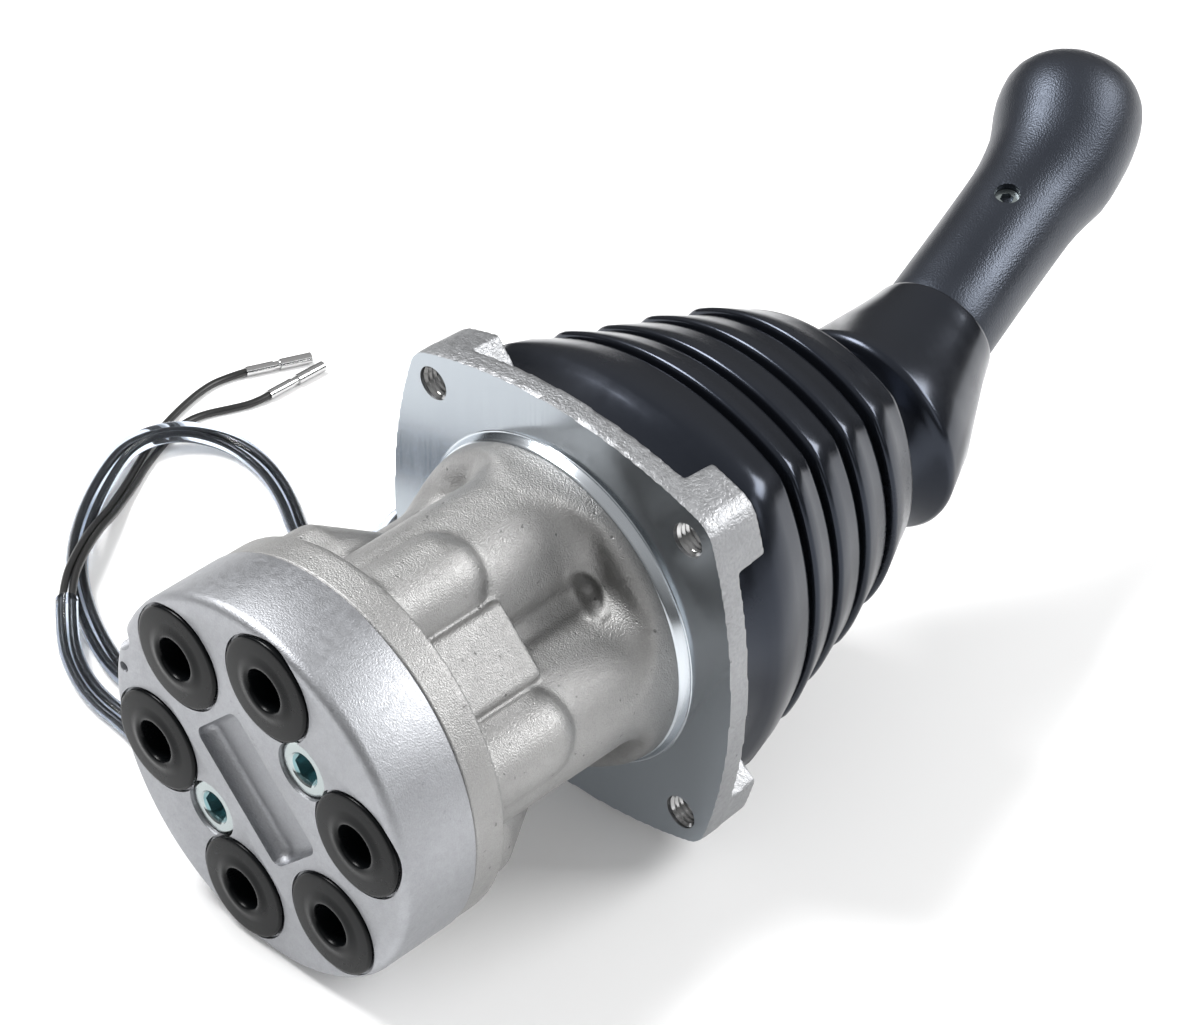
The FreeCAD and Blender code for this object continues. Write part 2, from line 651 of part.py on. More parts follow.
def guide_bushing(name, place):
    """A flanged guide for one pusher, recessed at its top for the wiper."""
    top, flange = D.nose_height, D.nose_height - D.bush_flange_thick
    bore = D.pusher_radius + D.running
    groove = top - D.bush_groove_down
    return keep(turned_body(name, (
        (bore, top - D.bush_long), (D.bush_sleeve, top - D.bush_long),
        (D.bush_sleeve, groove), (D.bush_sleeve - D.bush_ring * 2.0, groove),
        (D.bush_sleeve - D.bush_ring * 2.0, groove + D.bush_ring * 2.6), (D.bush_sleeve, groove + D.bush_ring * 2.6),
        (D.bush_sleeve, flange), (D.bush_flange, flange), (D.bush_flange, top),
        (D.wiper_radius, top), (D.wiper_radius, top - D.wiper_high), (bore, top - D.wiper_high)), place), name)


def station_rings():
    """The wipers round the pushers and the rings in the bushings' grooves."""
    top = D.nose_height.value
    wipers, rings = [], []
    for x, y in station_places(D.lobe_circle):
        x, y = x.value, y.value
        high = D.wiper_high.value
        wiper = upright(D.wiper_radius.value - 0.02, top - high, top - 0.1, x, y)
        hollow = Part.makeCone(D.pusher_radius.value + 0.9, D.pusher_radius.value + 0.04, high,
                               Vector(x, y, top - high - 0.05))
        lip = upright(D.pusher_radius.value + 0.04, top - high - 1, top + 1, x, y)
        wipers.append(wiper.cut(hollow).cut(lip))
        ring = D.bush_ring.value
        rings.append(square_ring(D.bush_sleeve.value - ring + 0.03, ring,
                                 top - D.bush_groove_down.value + ring * 0.3, x, y))
    compound_piece("wiper_seals", wipers)
    compound_piece("bushing_rings", rings)


# The four pusher stations: pusher, spring seat, springs and spool

COIL_STEPS = 8


def pusher(name, place):
    """A hollow plunger with a round crown under the disc and a stop collar in the chamber."""
    shaft, dome = D.pusher_radius, D.pusher_dome
    crown = D.pivot_height - D.pusher_gap
    body = new_body(name)
    sketch = sketch_on(body, "XZ_Plane")
    shift_sketch(sketch, place)
    foot = D.pusher_foot
    half = math.degrees(math.asin(shaft.value / dome.value))
    base = crown - dome + dome * cosine(sized(half))
    corners = ((D.pusher_hollow, foot), (D.pusher_collar, foot), (D.pusher_collar, foot + D.pusher_collar_thick),
               (shaft, foot + D.pusher_collar_thick), (shaft, base))
    ends = [Vector(sized(x).value, sized(z).value, 0) for x, z in corners]
    lines = [sketch.addGeometry(Part.LineSegment(ends[k], ends[k + 1]), False) for k in range(4)]
    centre = Vector(0, (crown - dome).value, 0)
    start, stop = math.radians(90.0 - half), math.pi / 2
    arc = sketch.addGeometry(Part.ArcOfCircle(Part.Circle(centre, Vector(0, 0, 1), dome.value), start, stop), False)
    inner = ((0, crown), (0, D.pusher_hollow_top), (D.pusher_hollow, D.pusher_hollow_top), (D.pusher_hollow, foot))
    ends = [Vector(sized(x).value, sized(z).value, 0) for x, z in inner]
    closing = [sketch.addGeometry(Part.LineSegment(ends[k], ends[k + 1]), False) for k in range(3)]
    chain = [(lines[0], 1, 2), (lines[1], 1, 2), (lines[2], 1, 2), (lines[3], 1, 2), (arc, 1, 2),
             (closing[0], 1, 2), (closing[1], 1, 2), (closing[2], 1, 2)]
    for k, (item, _, end) in enumerate(chain):
        after, first, _ = chain[(k + 1) % len(chain)]
        sketch.addConstraint(Sketcher.Constraint("Coincident", item, end, after, first))
    for k, corner in enumerate(corners[:4]):
        pin_point(sketch, lines[k], 1, *corner)
    pin_point(sketch, arc, 3, sized(0), crown - dome)
    bind(sketch, Sketcher.Constraint("Radius", arc, dome.value), dome)
    bind(sketch, Sketcher.Constraint("DistanceX", -1, 1, lines[3], 2, shaft.value), shaft)
    pin_point(sketch, closing[1], 1, *inner[1])
    pin_point(sketch, closing[2], 1, *inner[2])
    sketch.addConstraint(Sketcher.Constraint("PointOnObject", closing[0], 1, -2))
    revolve(body, sketch)
    return keep(body, name)


def spring_seat(name, place):
    foot, thick = D.pusher_foot, D.spring_seat_thick
    boss = foot - thick - D.seat_boss_high
    hole = D.stem_radius + D.stem_gap
    return keep(turned_body(name, (
        (hole, boss), (D.seat_boss, boss), (D.seat_boss, foot - thick), (D.spring_seat_radius, foot - thick),
        (D.spring_seat_radius, foot), (hole, foot)), place), name)


def coil(mean, wire, turns, low, high, place):
    """A compression spring of square wire, its helix drawn in straight pieces."""
    x, y = (size.value for size in place)
    steps = int(turns.value * COIL_STEPS)
    rise = ((high - low).value - 2 * wire.value) / steps
    points = []
    for k in range(steps + 1):
        turn = 2 * math.pi * k / COIL_STEPS
        points.append(Vector(x + mean.value * math.cos(turn), y + mean.value * math.sin(turn),
                             low.value + wire.value + rise * k))
    rings = []
    for k, point in enumerate(points):
        out = (point - Vector(x, y, point.z)).normalize() * wire.value
        up = Vector(0, 0, wire.value)
        rings.append(Part.makePolygon([point + out + up, point - out + up, point - out - up, point + out - up,
                                       point + out + up]))
    return Part.makeLoft(rings, True, True)


def spool(name, place):
    """A metering spool: grooved land below, thin stem up into the hollow pusher."""
    low, shoulder, stem = D.spool_start, D.spool_shoulder, D.stem_radius
    r, groove = D.spool_radius, D.spool_groove
    return keep(turned_body(name, (
        (0, low), (r, low), (r, low + 6.5), (groove, low + 6.5), (groove, low + 10.5), (r, low + 10.5),
        (r, low + 16.5), (groove, low + 16.5), (groove, low + 18.5), (r, low + 18.5),
        (r, shoulder - D.shoulder_thick), (D.shoulder_radius, shoulder - D.shoulder_thick),
        (D.shoulder_radius, shoulder), (stem, shoulder), (stem, D.stem_top), (0, D.stem_top)), place), name)


def stations():
    for (side, turn), place in zip(STATIONS, station_places(D.lobe_circle)):
        guide_bushing("guide_bushing_" + side, place)
        pusher("pusher_" + side, place)
        spring_seat("spring_seat_" + side, place)
        spool("spool_" + side, place)
        seat_face = D.pusher_foot - D.spring_seat_thick
        compound_piece("return_spring_" + side, [coil(
            D.return_coil, D.return_wire, D.return_turns, D.chamber_floor, seat_face, place)])
        compound_piece("metering_spring_" + side, [coil(
            D.metering_coil, D.metering_wire, D.metering_turns, D.spool_shoulder,
            seat_face - D.seat_boss_high, place)])


# Universal joint, actuating disc and lever

def box(size_x, size_y, low, high, x=0.0, y=0.0):
    return Part.makeBox(size_x, size_y, high - low, Vector(x - size_x / 2, y - size_y / 2, low))


def rod_along(axis, radius, start, end, height):
    return Part.makeCylinder(radius, end - start, Vector(*(start * a for a in axis)) + Vector(0, 0, height),
                             Vector(*axis))


def joint_base():
    """A hexagon with a stud below and a fork above, whose cheeks hold the long pin."""
    pivot = D.pivot_height.value
    seat = D.plate_top.value
    flange = hex_prism(2 * D.base_flange.value, seat, seat + D.base_flange_thick.value)
    stud = upright(D.base_stud.value, D.nose_height.value - D.base_stud_long.value + 1.0, seat + 0.1)
    half, gap, wide = D.fork_half.value, D.fork_gap.value, D.fork_wide.value
    solid = flange.fuse(stud)
    for side in (1, -1):
        cheek = box(half - gap, wide, seat + 1, pivot, side * (half + gap) / 2)
        crown = rod_along((1, 0, 0), wide / 2 - 1.5, min(side * gap, side * half), max(side * gap, side * half), pivot)
        cheek = cheek.fuse(crown)
        solid = solid.fuse(cheek)
    hole = rod_along((1, 0, 0), D.pin_radius.value + D.pin_running.value, -half - 1, half + 1, pivot)
    compound_piece("joint_base", [solid.cut(hole).removeSplitter()])


def joint_cross():
    pivot, half = D.pivot_height.value, D.cross_half.value
    block = box(2 * half, 2 * half, pivot - D.cross_high.value / 2, pivot + D.cross_high.value / 2)
    block = block.makeChamfer(0.8, [e for e in block.Edges if abs(e.BoundBox.XLength + e.BoundBox.YLength) < 1e-6])
    pin = D.pin_radius.value
    for axis in ((1, 0, 0), (0, 1, 0)):
        block = block.cut(rod_along(axis, pin, -half - 1, half + 1, pivot))
    compound_piece("joint_cross", [block])
    reach = D.fork_half.value - 0.3
    long_pin = rod_along((1, 0, 0), pin - 0.005, -reach, reach, pivot)
    short = [rod_along((0, 1, 0), pin - 0.005, a, b, pivot) for a, b in ((-reach, -pin - 0.05), (pin + 0.05, reach))]
    compound_piece("cross_pins", [long_pin] + short)


def joint_yoke():
    """The upper fork, turned a quarter from the lower one, with a threaded stud for the lever."""
    pivot = D.pivot_height.value
    half, gap, wide = D.fork_half.value, D.fork_gap.value, D.fork_wide.value - 2.0
    bridge_low = pivot + D.bridge_low.value
    bridge_top = bridge_low + D.bridge_thick.value
    solid = upright(half + 3.0, bridge_low, bridge_top)
    for side in (1, -1):
        low, high = min(side * gap, side * half), max(side * gap, side * half)
        cheek = box(wide, half - gap, pivot, bridge_low + 1, 0, side * (half + gap) / 2)
        solid = solid.fuse(cheek).fuse(rod_along((0, 1, 0), wide / 2, low, high, pivot))
    hole = rod_along((0, 1, 0), D.pin_radius.value + D.pin_running.value, -half - 1, half + 1, pivot)
    stud = upright(D.yoke_stud.value, bridge_top - 0.1, D.yoke_stud_top.value)
    compound_piece("joint_yoke", [solid.cut(hole).fuse(stud).removeSplitter()])


def actuating_disc():
    """A cup over the joint whose flat rim presses the four pushers, level with the pivot."""
    pivot = D.pivot_height
    roof = pivot + D.bridge_low + D.bridge_thick
    inside, outside = D.cup_inside, D.cup_inside + D.cup_wall
    return keep(turned_body("actuating_disc", (
        (inside, pivot), (D.disc_radius, pivot), (D.disc_radius, pivot + D.disc_rim),
        (outside, pivot + D.disc_rim), (outside, roof + D.cup_roof), (D.yoke_stud + 0.05, roof + D.cup_roof),
        (D.yoke_stud + 0.05, roof), (inside, roof))), "actuating_disc")


def disc_nut():
    low = (D.pivot_height + D.bridge_low + D.bridge_thick + D.cup_roof).value
    nut = hex_prism(D.nut_flats.value, low, low + D.nut_high.value)
    nut = nut.common(Part.makeCone(D.nut_flats.value * 0.5 + 2.6, D.nut_flats.value * 0.5 - 0.2,
                                   D.nut_high.value + 2.0, Vector(0, 0, low)))
    compound_piece("disc_nut", [nut.cut(upright(D.yoke_stud.value + 0.02, low - 1, low + 20))])


# The handle's own axis leaves the valve's axis at cross_height and leans over port A's corner.
def handle_frame():
    tilt = math.radians(D.handle_tilt.value)
    lean_way = Vector(-math.sqrt(0.5), -math.sqrt(0.5), 0)
    axis = lean_way * math.sin(tilt) + Vector(0, 0, math.cos(tilt))
    under = lean_way * math.cos(tilt) - Vector(0, 0, math.sin(tilt))
    side = axis.cross(under)
    return Vector(0, 0, D.cross_height.value), axis, under, side


START, AXIS, UNDER, SIDE = handle_frame()


def on_handle(along, under=0.0, side=0.0):
    return START + AXIS * along + UNDER * under + SIDE * side


def handle_rod(radius, start, end, under=0.0):
    return Part.makeCylinder(radius, end - start, on_handle(start, under), AXIS)


def rounded_path(points, radii):
    """Straight runs joined by tangent arcs of the given radii, as one wire."""
    edges = []
    last = points[0]
    for k in range(1, len(points) - 1):
        before = (points[k] - points[k - 1]).normalize()
        after = (points[k + 1] - points[k]).normalize()
        turn = before.getAngle(after)
        cut = radii[k - 1] * math.tan(turn / 2)
        first, final = points[k] - before * cut, points[k] + after * cut
        middle = (after - before).normalize()
        deep = radii[k - 1] / math.cos(turn / 2) - radii[k - 1]
        edges.append(Part.makeLine(last, first))
        edges.append(Part.Arc(first, points[k] + middle * deep, final).toShape())
        last = final
    edges.append(Part.makeLine(last, points[-1]))
    return Part.Wire(edges)


def swept(path, radius):
    start = path.Edges[0].Vertexes[0].Point
    if (start - path.Edges[0].valueAt(path.Edges[0].FirstParameter)).Length > 1e-6:
        start = path.Edges[0].valueAt(path.Edges[0].FirstParameter)
    heading = path.Edges[0].tangentAt(path.Edges[0].FirstParameter)
    section = Part.Wire([Part.Circle(start, heading, radius).toShape()])
    return path.makePipeShell([section], True, False)


def lever_rod():
    """A bent rod from the joint's stud up into the grip, thicker where it screws on."""
    low = (D.pivot_height + D.bridge_low + D.bridge_thick + D.cup_roof + D.nut_high).value
    knee = on_handle((D.knee_height.value - START.z) / AXIS.z)
    path = rounded_path([Vector(0, 0, D.sleeve_top.value - 1), Vector(0, 0, D.sleeve_top.value + 3.5), knee,
                         on_handle(D.rod_in_grip.value)], [20.0, D.knee_bend.value])
    rod = swept(path, D.rod_radius.value)
    sleeve = upright(D.sleeve_radius.value, low, D.sleeve_top.value)
    sleeve = sleeve.makeChamfer(1.5, [e for e in sleeve.Edges if abs(e.BoundBox.ZMin - D.sleeve_top.value) < 1e-6])
    bore = upright(D.yoke_stud.value + 0.02, low - 1, D.yoke_stud_top.value + 1.0)
    compound_piece("lever_rod", [rod.fuse(sleeve).cut(bore).removeSplitter()])


# Grip stations: distance along the handle, offset towards its lean, radius
GRIP_SHAPE = (
    (58.0, 0.0, 14.1), (67.0, 0.0, 14.5), (77.0, 0.0, 16.1), (84.6, 1.8, 17.7), (90.4, 3.0, 18.2),
    (96.1, 3.6, 17.7), (101.3, 3.3, 15.8), (106.0, 2.4, 12.3), (109.5, 1.9, 8.4),
)


def grip():
    sections = []
    for along, under, radius in GRIP_SHAPE:
        sections.append(Part.Wire([Part.Circle(on_handle(along, under), AXIS, radius).toShape()]))
    head = Part.makeLoft(sections, True, False)
    start, neck = D.grip_start.value, GRIP_SHAPE[0][0]
    barrel = handle_rod(D.grip_radius.value, start, neck)
    barrel = barrel.makeFillet(1.2, [e for e in barrel.Edges if e.Closed and e.CenterOfMass.z < on_handle(start).z + 1])
    solid = barrel.fuse(head)
    top = GRIP_SHAPE[-1][0]
    cuts = [handle_rod(D.rod_radius.value + 0.02, start - 1, D.rod_in_grip.value + 0.5),
            handle_rod(2.0, D.rod_in_grip.value, top, 0.6),
            handle_rod(D.button_radius.value + D.button_gap.value, switch_foot(), top + 5, D.button_under.value),
            set_screw_rod(D.screw_hole.value, D.rod_radius.value - 1.0, D.grip_radius.value + 3)]
    compound_piece("grip", [solid.cut(cuts).removeSplitter()])


def set_screw_rod(radius, start, end):
    turn = math.radians(D.screw_hole_turn.value)
    out = UNDER * math.cos(turn) + SIDE * math.sin(turn)
    return Part.makeCylinder(radius, end - start, on_handle(D.screw_hole_at.value) + out * start, out)


def set_screw():
    start = D.rod_radius.value + 0.02
    screw = set_screw_rod(D.set_screw.value, start, start + D.set_screw_long.value)
    turn = math.radians(D.screw_hole_turn.value)
    out = UNDER * math.cos(turn) + SIDE * math.sin(turn)
    socket = hex_prism(3.0, 0, 3.0)
    socket.Placement = Placement(on_handle(D.screw_hole_at.value) + out * (start + D.set_screw_long.value - 2.5),
                                 Rotation(Vector(0, 0, 1), out))
    compound_piece("set_screw", [screw.cut(socket)])


def switch_foot():
    return GRIP_SHAPE[-1][0] - D.button_high.value - D.button_travel.value - 0.5 - D.switch_long.value


def push_button():
    """A domed cap with a stem that slides in the switch under it."""
    top = GRIP_SHAPE[-1][0]
    low = top - D.button_high.value
    under = D.button_under.value
    cap = handle_rod(D.button_radius.value, low, top, under)
    ball = Part.makeSphere(D.button_dome.value, on_handle(top + D.button_rise.value - D.button_dome.value, under))
    dome = handle_rod(D.button_radius.value, top - 0.01, top + D.button_rise.value + 1, under).common(ball)
    stem = handle_rod(D.button_stem.value, low - 8.0, low + 0.1, under)
    compound_piece("push_button", [cap.fuse([dome, stem]).removeSplitter()])
    foot = switch_foot()
    face = foot + D.switch_long.value
    body = handle_rod(D.button_radius.value, foot, face, under)
    bore = handle_rod(D.button_stem.value + D.running.value, low - 8.0 - D.button_travel.value - 0.5, face + 1, under)
    compound_piece("button_switch", [body.cut(bore)])


# Boot: a bellows of rounded squares round the joint and a cone round the lever

# Height above the flange's face, half width and squareness of each section
BOOT_SHAPE = (
    (5.6, 45.4, 2.0), (10.3, 46.3, 2.0), (14.4, 46.9, 2.0), (16.8, 47.6, 2.35), (20.8, 48.5, 2.85),
    (32.3, 44.7, 2.8), (33.3, 38.2, 2.6), (34.3, 44.6, 2.8), (42.8, 42.0, 2.7), (43.9, 35.5, 2.6),
    (45.0, 41.8, 2.7), (54.8, 39.0, 2.65), (55.9, 32.5, 2.5), (57.0, 39.0, 2.65), (67.3, 35.6, 2.5),
    (68.5, 29.0, 2.4), (69.8, 35.8, 2.5), (82.8, 30.4, 2.6),
)
BOOT_INSIDE = (
    (9.4, 43.4, 2.0), (19.8, 45.2, 2.5), (33.3, 36.2, 2.6), (43.9, 33.5, 2.6), (55.9, 30.5, 2.5),
    (68.5, 27.0, 2.4), (80.8, 26.5, 2.5),
)


def boot_square(rise, half, power):
    """A superellipse of the given half width and squareness, drawn as eight tangent arcs."""
    corner = half * (0.8 if power < 2.2 else 0.62 if power < 2.45 else 0.47)
    reach = half * math.sqrt(2.0) * 2.0 ** (-1.0 / power) if power > 2.0 else half * 1.0005
    pitch = (reach - corner) / math.sqrt(2.0)
    return square_wire(half, pitch, corner, D.face_height.value + rise)


def ring_wire(centre, axis, radius):
    """A circle as eight arcs that start where the rounded squares' arcs do."""
    across = Vector(1, 0, 0) - axis * axis.x
    across.normalize()
    beyond = axis.cross(across)
    def at(turn):
        turn = math.radians(turn)
        return centre + across * (radius * math.cos(turn)) + beyond * (radius * math.sin(turn))
    edges = []
    for quarter in range(4):
        turn = 90.0 * quarter
        edges.append(Part.Arc(at(turn - 20), at(turn), at(turn + 20)).toShape())
        edges.append(Part.Arc(at(turn + 20), at(turn + 45), at(turn + 70)).toShape())
    return Part.Wire(Part.__sortEdges__(edges))


def boot():
    up = Vector(0, 0, 1)
    knee = on_handle((D.knee_height.value - START.z) / AXIS.z)
    neck = Vector(D.neck_shift.value, D.neck_shift.value, D.knee_height.value - D.neck_below.value)
    lip = Vector(D.lip_shift.value, D.lip_shift.value, D.knee_height.value - D.lip_below.value)
    slight = (up * 3 + AXIS).normalize()
    collar = on_handle(D.collar_at.value)
    outside = [boot_square(*row) for row in BOOT_SHAPE]
    neck_out, cone_out, wall = D.neck_radius.value, D.cone_radius.value, D.boot_wall.value
    outside += [ring_wire(neck, up, neck_out), ring_wire(lip, up, neck_out),
                ring_wire(knee + up * 0.2, slight, cone_out),
                ring_wire(collar, AXIS, D.collar_radius.value + 0.3),
                ring_wire(collar + AXIS * 3.0, AXIS, D.collar_radius.value)]
    inside = [boot_square(*row) for row in BOOT_INSIDE]
    inside += [ring_wire(neck, up, neck_out - wall), ring_wire(lip, up, neck_out - wall),
               ring_wire(knee + up * 1.5, slight, cone_out - wall * 2.0),
               ring_wire(collar - AXIS * 4.0, AXIS, D.grip_radius.value - 2.0)]
    shell = Part.makeLoft(outside, True, True).cut(Part.makeLoft(inside, True, True))
    shell = shell.cut(handle_rod(D.grip_radius.value + 0.04, D.collar_at.value - 13.5, D.collar_at.value + 6))
    shell = shell.cut(upright(D.nose_radius.value + D.running.value, D.face_height.value, D.nose_height.value + 0.65))
    compound_piece("boot", [shell.cut(cable_grommet())])


# Cable of the grip's switch: a clear sleeve with two wires, lying on the floor

# Row-frame places in millimetres; the last number is the height over the surface it lies on
SLEEVE_ROUTE = (
    (-74.0, 15.0, 26.5), (-88.0, 17.0, 12.0), (-104.5, 20.0, 0.0), (-119.0, 28.0, 0.0), (-132.5, 32.4, 0.0),
    (-145.4, 31.8, 0.6), (-154.6, 23.8, 2.1), (-157.2, 11.6, 2.1), (-152.6, 0.0, 0.9), (-142.5, -15.5, 0.0),
    (-130.6, -28.0, 0.0), (-119.6, -35.9, 0.0), (-105.0, -43.4, 0.0), (-89.5, -48.6, 0.0), (-74.5, -47.6, 0.0),
    (-59.0, -41.0, 0.0), (-42.6, -30.3, 0.0), (-27.8, -33.3, 0.0), (-19.6, -45.5, 0.0), (-21.6, -60.0, 0.0),
    (-33.2, -69.3, 0.0), (-47.7, -68.1, 0.0), (-60.5, -61.8, 0.0), (-73.5, -58.6, 0.0), (-86.3, -58.3, 0.0),
    (-97.6, -54.9, 0.0), (-107.3, -49.8, 1.2), (-115.4, -43.0, 4.0),
)
WIRE_ROUTES = (
    ((-121.6, -38.6, 6.3), (-127.0, -31.6, 6.0), (-130.4, -24.2, 5.2), (-134.2, -17.8, 2.0), (-139.3, -13.2, 0.0),
     (-146.9, -1.9, 0.0), (-153.2, 9.8, 0.0), (-160.6, 22.4, 0.0), (-165.6, 34.9, 0.0), (-168.7, 46.2, 0.0),
     (-168.2, 53.2, 0.0), (-166.9, 57.3, 0.4)),
    ((-120.4, -36.9, 6.3), (-125.6, -30.2, 6.0), (-128.8, -23.0, 4.6), (-132.6, -16.6, 1.8), (-137.7, -12.0, 0.0),
     (-145.2, -0.9, 0.0), (-151.2, 10.8, 0.0), (-156.3, 21.5, 0.0), (-159.8, 30.0, 0.0), (-159.6, 37.0, 0.0),
     (-156.6, 45.0, 0.0), (-155.1, 50.5, 0.0), (-155.0, 54.6, 0.4)),
)
TERMINAL_ENDS = ((-161.0, 74.4), (-156.0, 74.0))


def laid(x, y, z):
    """A point of the row's own frame, in the upright frame that the pieces are drawn in."""
    return LYING.inverse().multVec(Vector(x, y, z))


def route_radii(points):
    """The largest arc each corner's two runs allow: 0.45 of the shorter run, by half the turn."""
    radii = []
    for k in range(1, len(points) - 1):
        before, after = points[k] - points[k - 1], points[k + 1] - points[k]
        short = min(before.Length, after.Length)
        radii.append(0.45 * short / math.tan(before.getAngle(after) / 2))
    return radii


def cord_tube(name, points, radius):
    radii = route_radii(points)
    path = rounded_path(points, radii)
    tube = swept(path, radius)
    ideal = math.pi * radius ** 2 * path.Length
    print(f"{name}: {path.Length:.0f} mm long, tightest radius {min(radii):.1f} mm, "
          f"longest run {max((b - a).Length for a, b in zip(points, points[1:])):.0f} mm, "
          f"volume {tube.Volume / ideal:.4f} of section times length")
    compound_piece(name, [tube])
    return path


def cable():
    out = D.sleeve_out.value
    rest = FLOOR + out + D.floor_gap.value
    exit_at = LYING.multVec(Vector(-D.grommet_end.value, D.exit_side.value, D.exit_height.value))
    heading = [exit_at, exit_at + Vector(-9.5, 0.0, 0.0)]
    points = [laid(*point) for point in heading]
    points += [laid(x, y, rest + high) for x, y, high in SLEEVE_ROUTE]
    cord_tube("cable_sleeve", points, out)
    end, before = points[-1], points[-2]
    onward = (end - before).normalize()
    across = onward.cross(LYING.Rotation.inverted().multVec(Vector(0, 0, 1))).normalize()
    wire = D.wire_out.value
    low = FLOOR + wire + D.floor_gap.value
    for number, route in enumerate(WIRE_ROUTES, start=1):
        apart = -(wire + 0.12) if number == 1 else wire + 0.12
        line = [end + onward * 0.02 + across * apart]
        line += [laid(x, y, low + high) for x, y, high in route]
        cord_tube(f"wire_{number}", line, wire)
        x, y, high = route[-1]
        far_x, far_y = TERMINAL_ENDS[number - 1]
        terminal(f"terminal_{number}", laid(x, y, low + high),
                 laid(far_x, far_y, FLOOR + D.barrel_out.value + D.floor_gap.value))


def terminal(name, start, end):
    """A crimped bullet receptacle: crimp over the wire, neck and open round barrel."""
    axis = (end - start).normalize()
    long = (end - start).Length
    crimp, barrel = D.crimp_out.value, D.barrel_out.value
    solid = Part.makeCylinder(crimp, long * 0.42, start + axis * 0.02, axis)
    neck = Part.makeCylinder(crimp * 0.8, long * 0.3, start + axis * long * 0.3, axis)
    tube = Part.makeCylinder(barrel, long * 0.48, start + axis * long * 0.52, axis)
    bore = Part.makeCylinder(barrel - 0.35, long * 0.4, end - axis * long * 0.38, axis)
    compound_piece(name, [solid.fuse([neck, tube]).cut(bore).removeSplitter()])


def cable_grommet():
    """A round grommet through the boot's skirt, hollow where the sleeve passes."""
    end, side, height = D.grommet_end.value, D.exit_side.value, D.exit_height.value
    inner = end - D.grommet_long.value
    way = Vector(-1, 0, 0)
    barrel = Part.makeCylinder(D.grommet_out.value, end - inner, Vector(-inner, side, height), way)
    flange = Part.makeCylinder(D.grommet_out.value + 1.8, 1.6, Vector(-(inner + 5.2), side, height), way)
    nose = [e for e in barrel.Edges if abs(e.CenterOfMass.x + end) < 1e-6]
    barrel = barrel.makeChamfer(0.8, nose)
    compound_piece("cable_grommet", [barrel.fuse(flange).removeSplitter()])
    return Part.makeCylinder(D.grommet_out.value + 0.05, 12.0, Vector(-(inner - 2.0), side, height), way)


def build():
    port_cover()
    cover_screws()
    port_plugs()
    port_seals()
    valve_body()
    retainer_plate()
    plate_screws()
    stations()
    station_rings()
    joint_base()
    joint_cross()
    joint_yoke()
    actuating_disc()
    disc_nut()
    lever_rod()
    grip()
    set_screw()
    push_button()
    boot()
    cable()


def check_and_export():
    """Every object has to be sound and every piece whole before its file is written."""
    doc.recompute()
    for item in doc.Objects:
        if "Invalid" in item.State or "Error" in item.State:
            raise ValueError(f"{item.Label} did not build: {item.State}")
    os.makedirs("parts", exist_ok=True)
    for piece in nodes:
        if piece.Shape.isNull() or not piece.Shape.isValid():
            raise ValueError(f"{piece.Label} is not a sound solid")
        print(f"{piece.Label}: {len(piece.Shape.Solids)} solids, {piece.Shape.Volume:.0f} mm3")
        piece.Shape.exportStep(f"parts/{piece.Label}.step")


build()
check_and_export()
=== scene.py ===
# %% [markdown]
# This lesson dresses a hydraulic pilot joystick valve that lies on a pale table. The engineering model
# is already built and packed, with every piece at its real size. Blender adds what the eye judges: cast
# skin, machined faces, glossy rubber, grained plastic and a soft cable. The first cell loads the fixed
# frame and keeps its box, because nothing made here may reach outside it.

import json
import math

import bmesh
import bpy
from mathutils import Matrix, Vector


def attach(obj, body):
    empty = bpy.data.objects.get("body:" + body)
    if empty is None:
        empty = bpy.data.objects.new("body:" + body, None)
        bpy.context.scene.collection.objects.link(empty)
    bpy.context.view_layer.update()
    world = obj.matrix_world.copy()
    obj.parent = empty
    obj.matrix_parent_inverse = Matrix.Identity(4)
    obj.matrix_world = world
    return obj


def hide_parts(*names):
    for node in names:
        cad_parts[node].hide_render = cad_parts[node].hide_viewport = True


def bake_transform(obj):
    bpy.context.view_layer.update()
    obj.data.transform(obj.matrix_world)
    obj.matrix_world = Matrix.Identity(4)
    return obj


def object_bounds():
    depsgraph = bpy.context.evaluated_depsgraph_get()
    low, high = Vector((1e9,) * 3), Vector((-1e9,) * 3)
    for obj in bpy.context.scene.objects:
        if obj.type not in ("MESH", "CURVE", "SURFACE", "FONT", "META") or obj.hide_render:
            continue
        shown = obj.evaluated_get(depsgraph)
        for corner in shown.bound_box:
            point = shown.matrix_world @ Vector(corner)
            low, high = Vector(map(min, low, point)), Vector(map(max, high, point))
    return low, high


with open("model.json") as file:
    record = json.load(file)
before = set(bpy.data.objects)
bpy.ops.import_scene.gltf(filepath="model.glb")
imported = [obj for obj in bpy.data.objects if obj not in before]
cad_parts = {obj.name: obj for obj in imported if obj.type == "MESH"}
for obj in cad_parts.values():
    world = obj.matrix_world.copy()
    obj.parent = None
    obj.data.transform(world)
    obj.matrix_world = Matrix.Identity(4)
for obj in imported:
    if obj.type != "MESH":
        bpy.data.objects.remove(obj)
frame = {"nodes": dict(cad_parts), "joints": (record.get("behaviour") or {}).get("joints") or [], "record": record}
cad_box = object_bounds()
nodes = frame["nodes"]
record = frame["record"]
bpy.ops.object.select_all(action="DESELECT")
print("frame box", [round(1000 * side) for side in cad_box[1] - cad_box[0]], "mm,", len(nodes), "nodes")

# %% [markdown]
# The valve lies on the rim of its port cover and on one side of its flange, so its own axis is a few
# degrees off the table. Modelling along a slanted axis is awkward. Each piece is therefore modelled
# upright, with z up the valve's axis from the mounting face, and laid down at the end. The packed
# mounts and joints already say where that axis points, so it isn't typed in again.

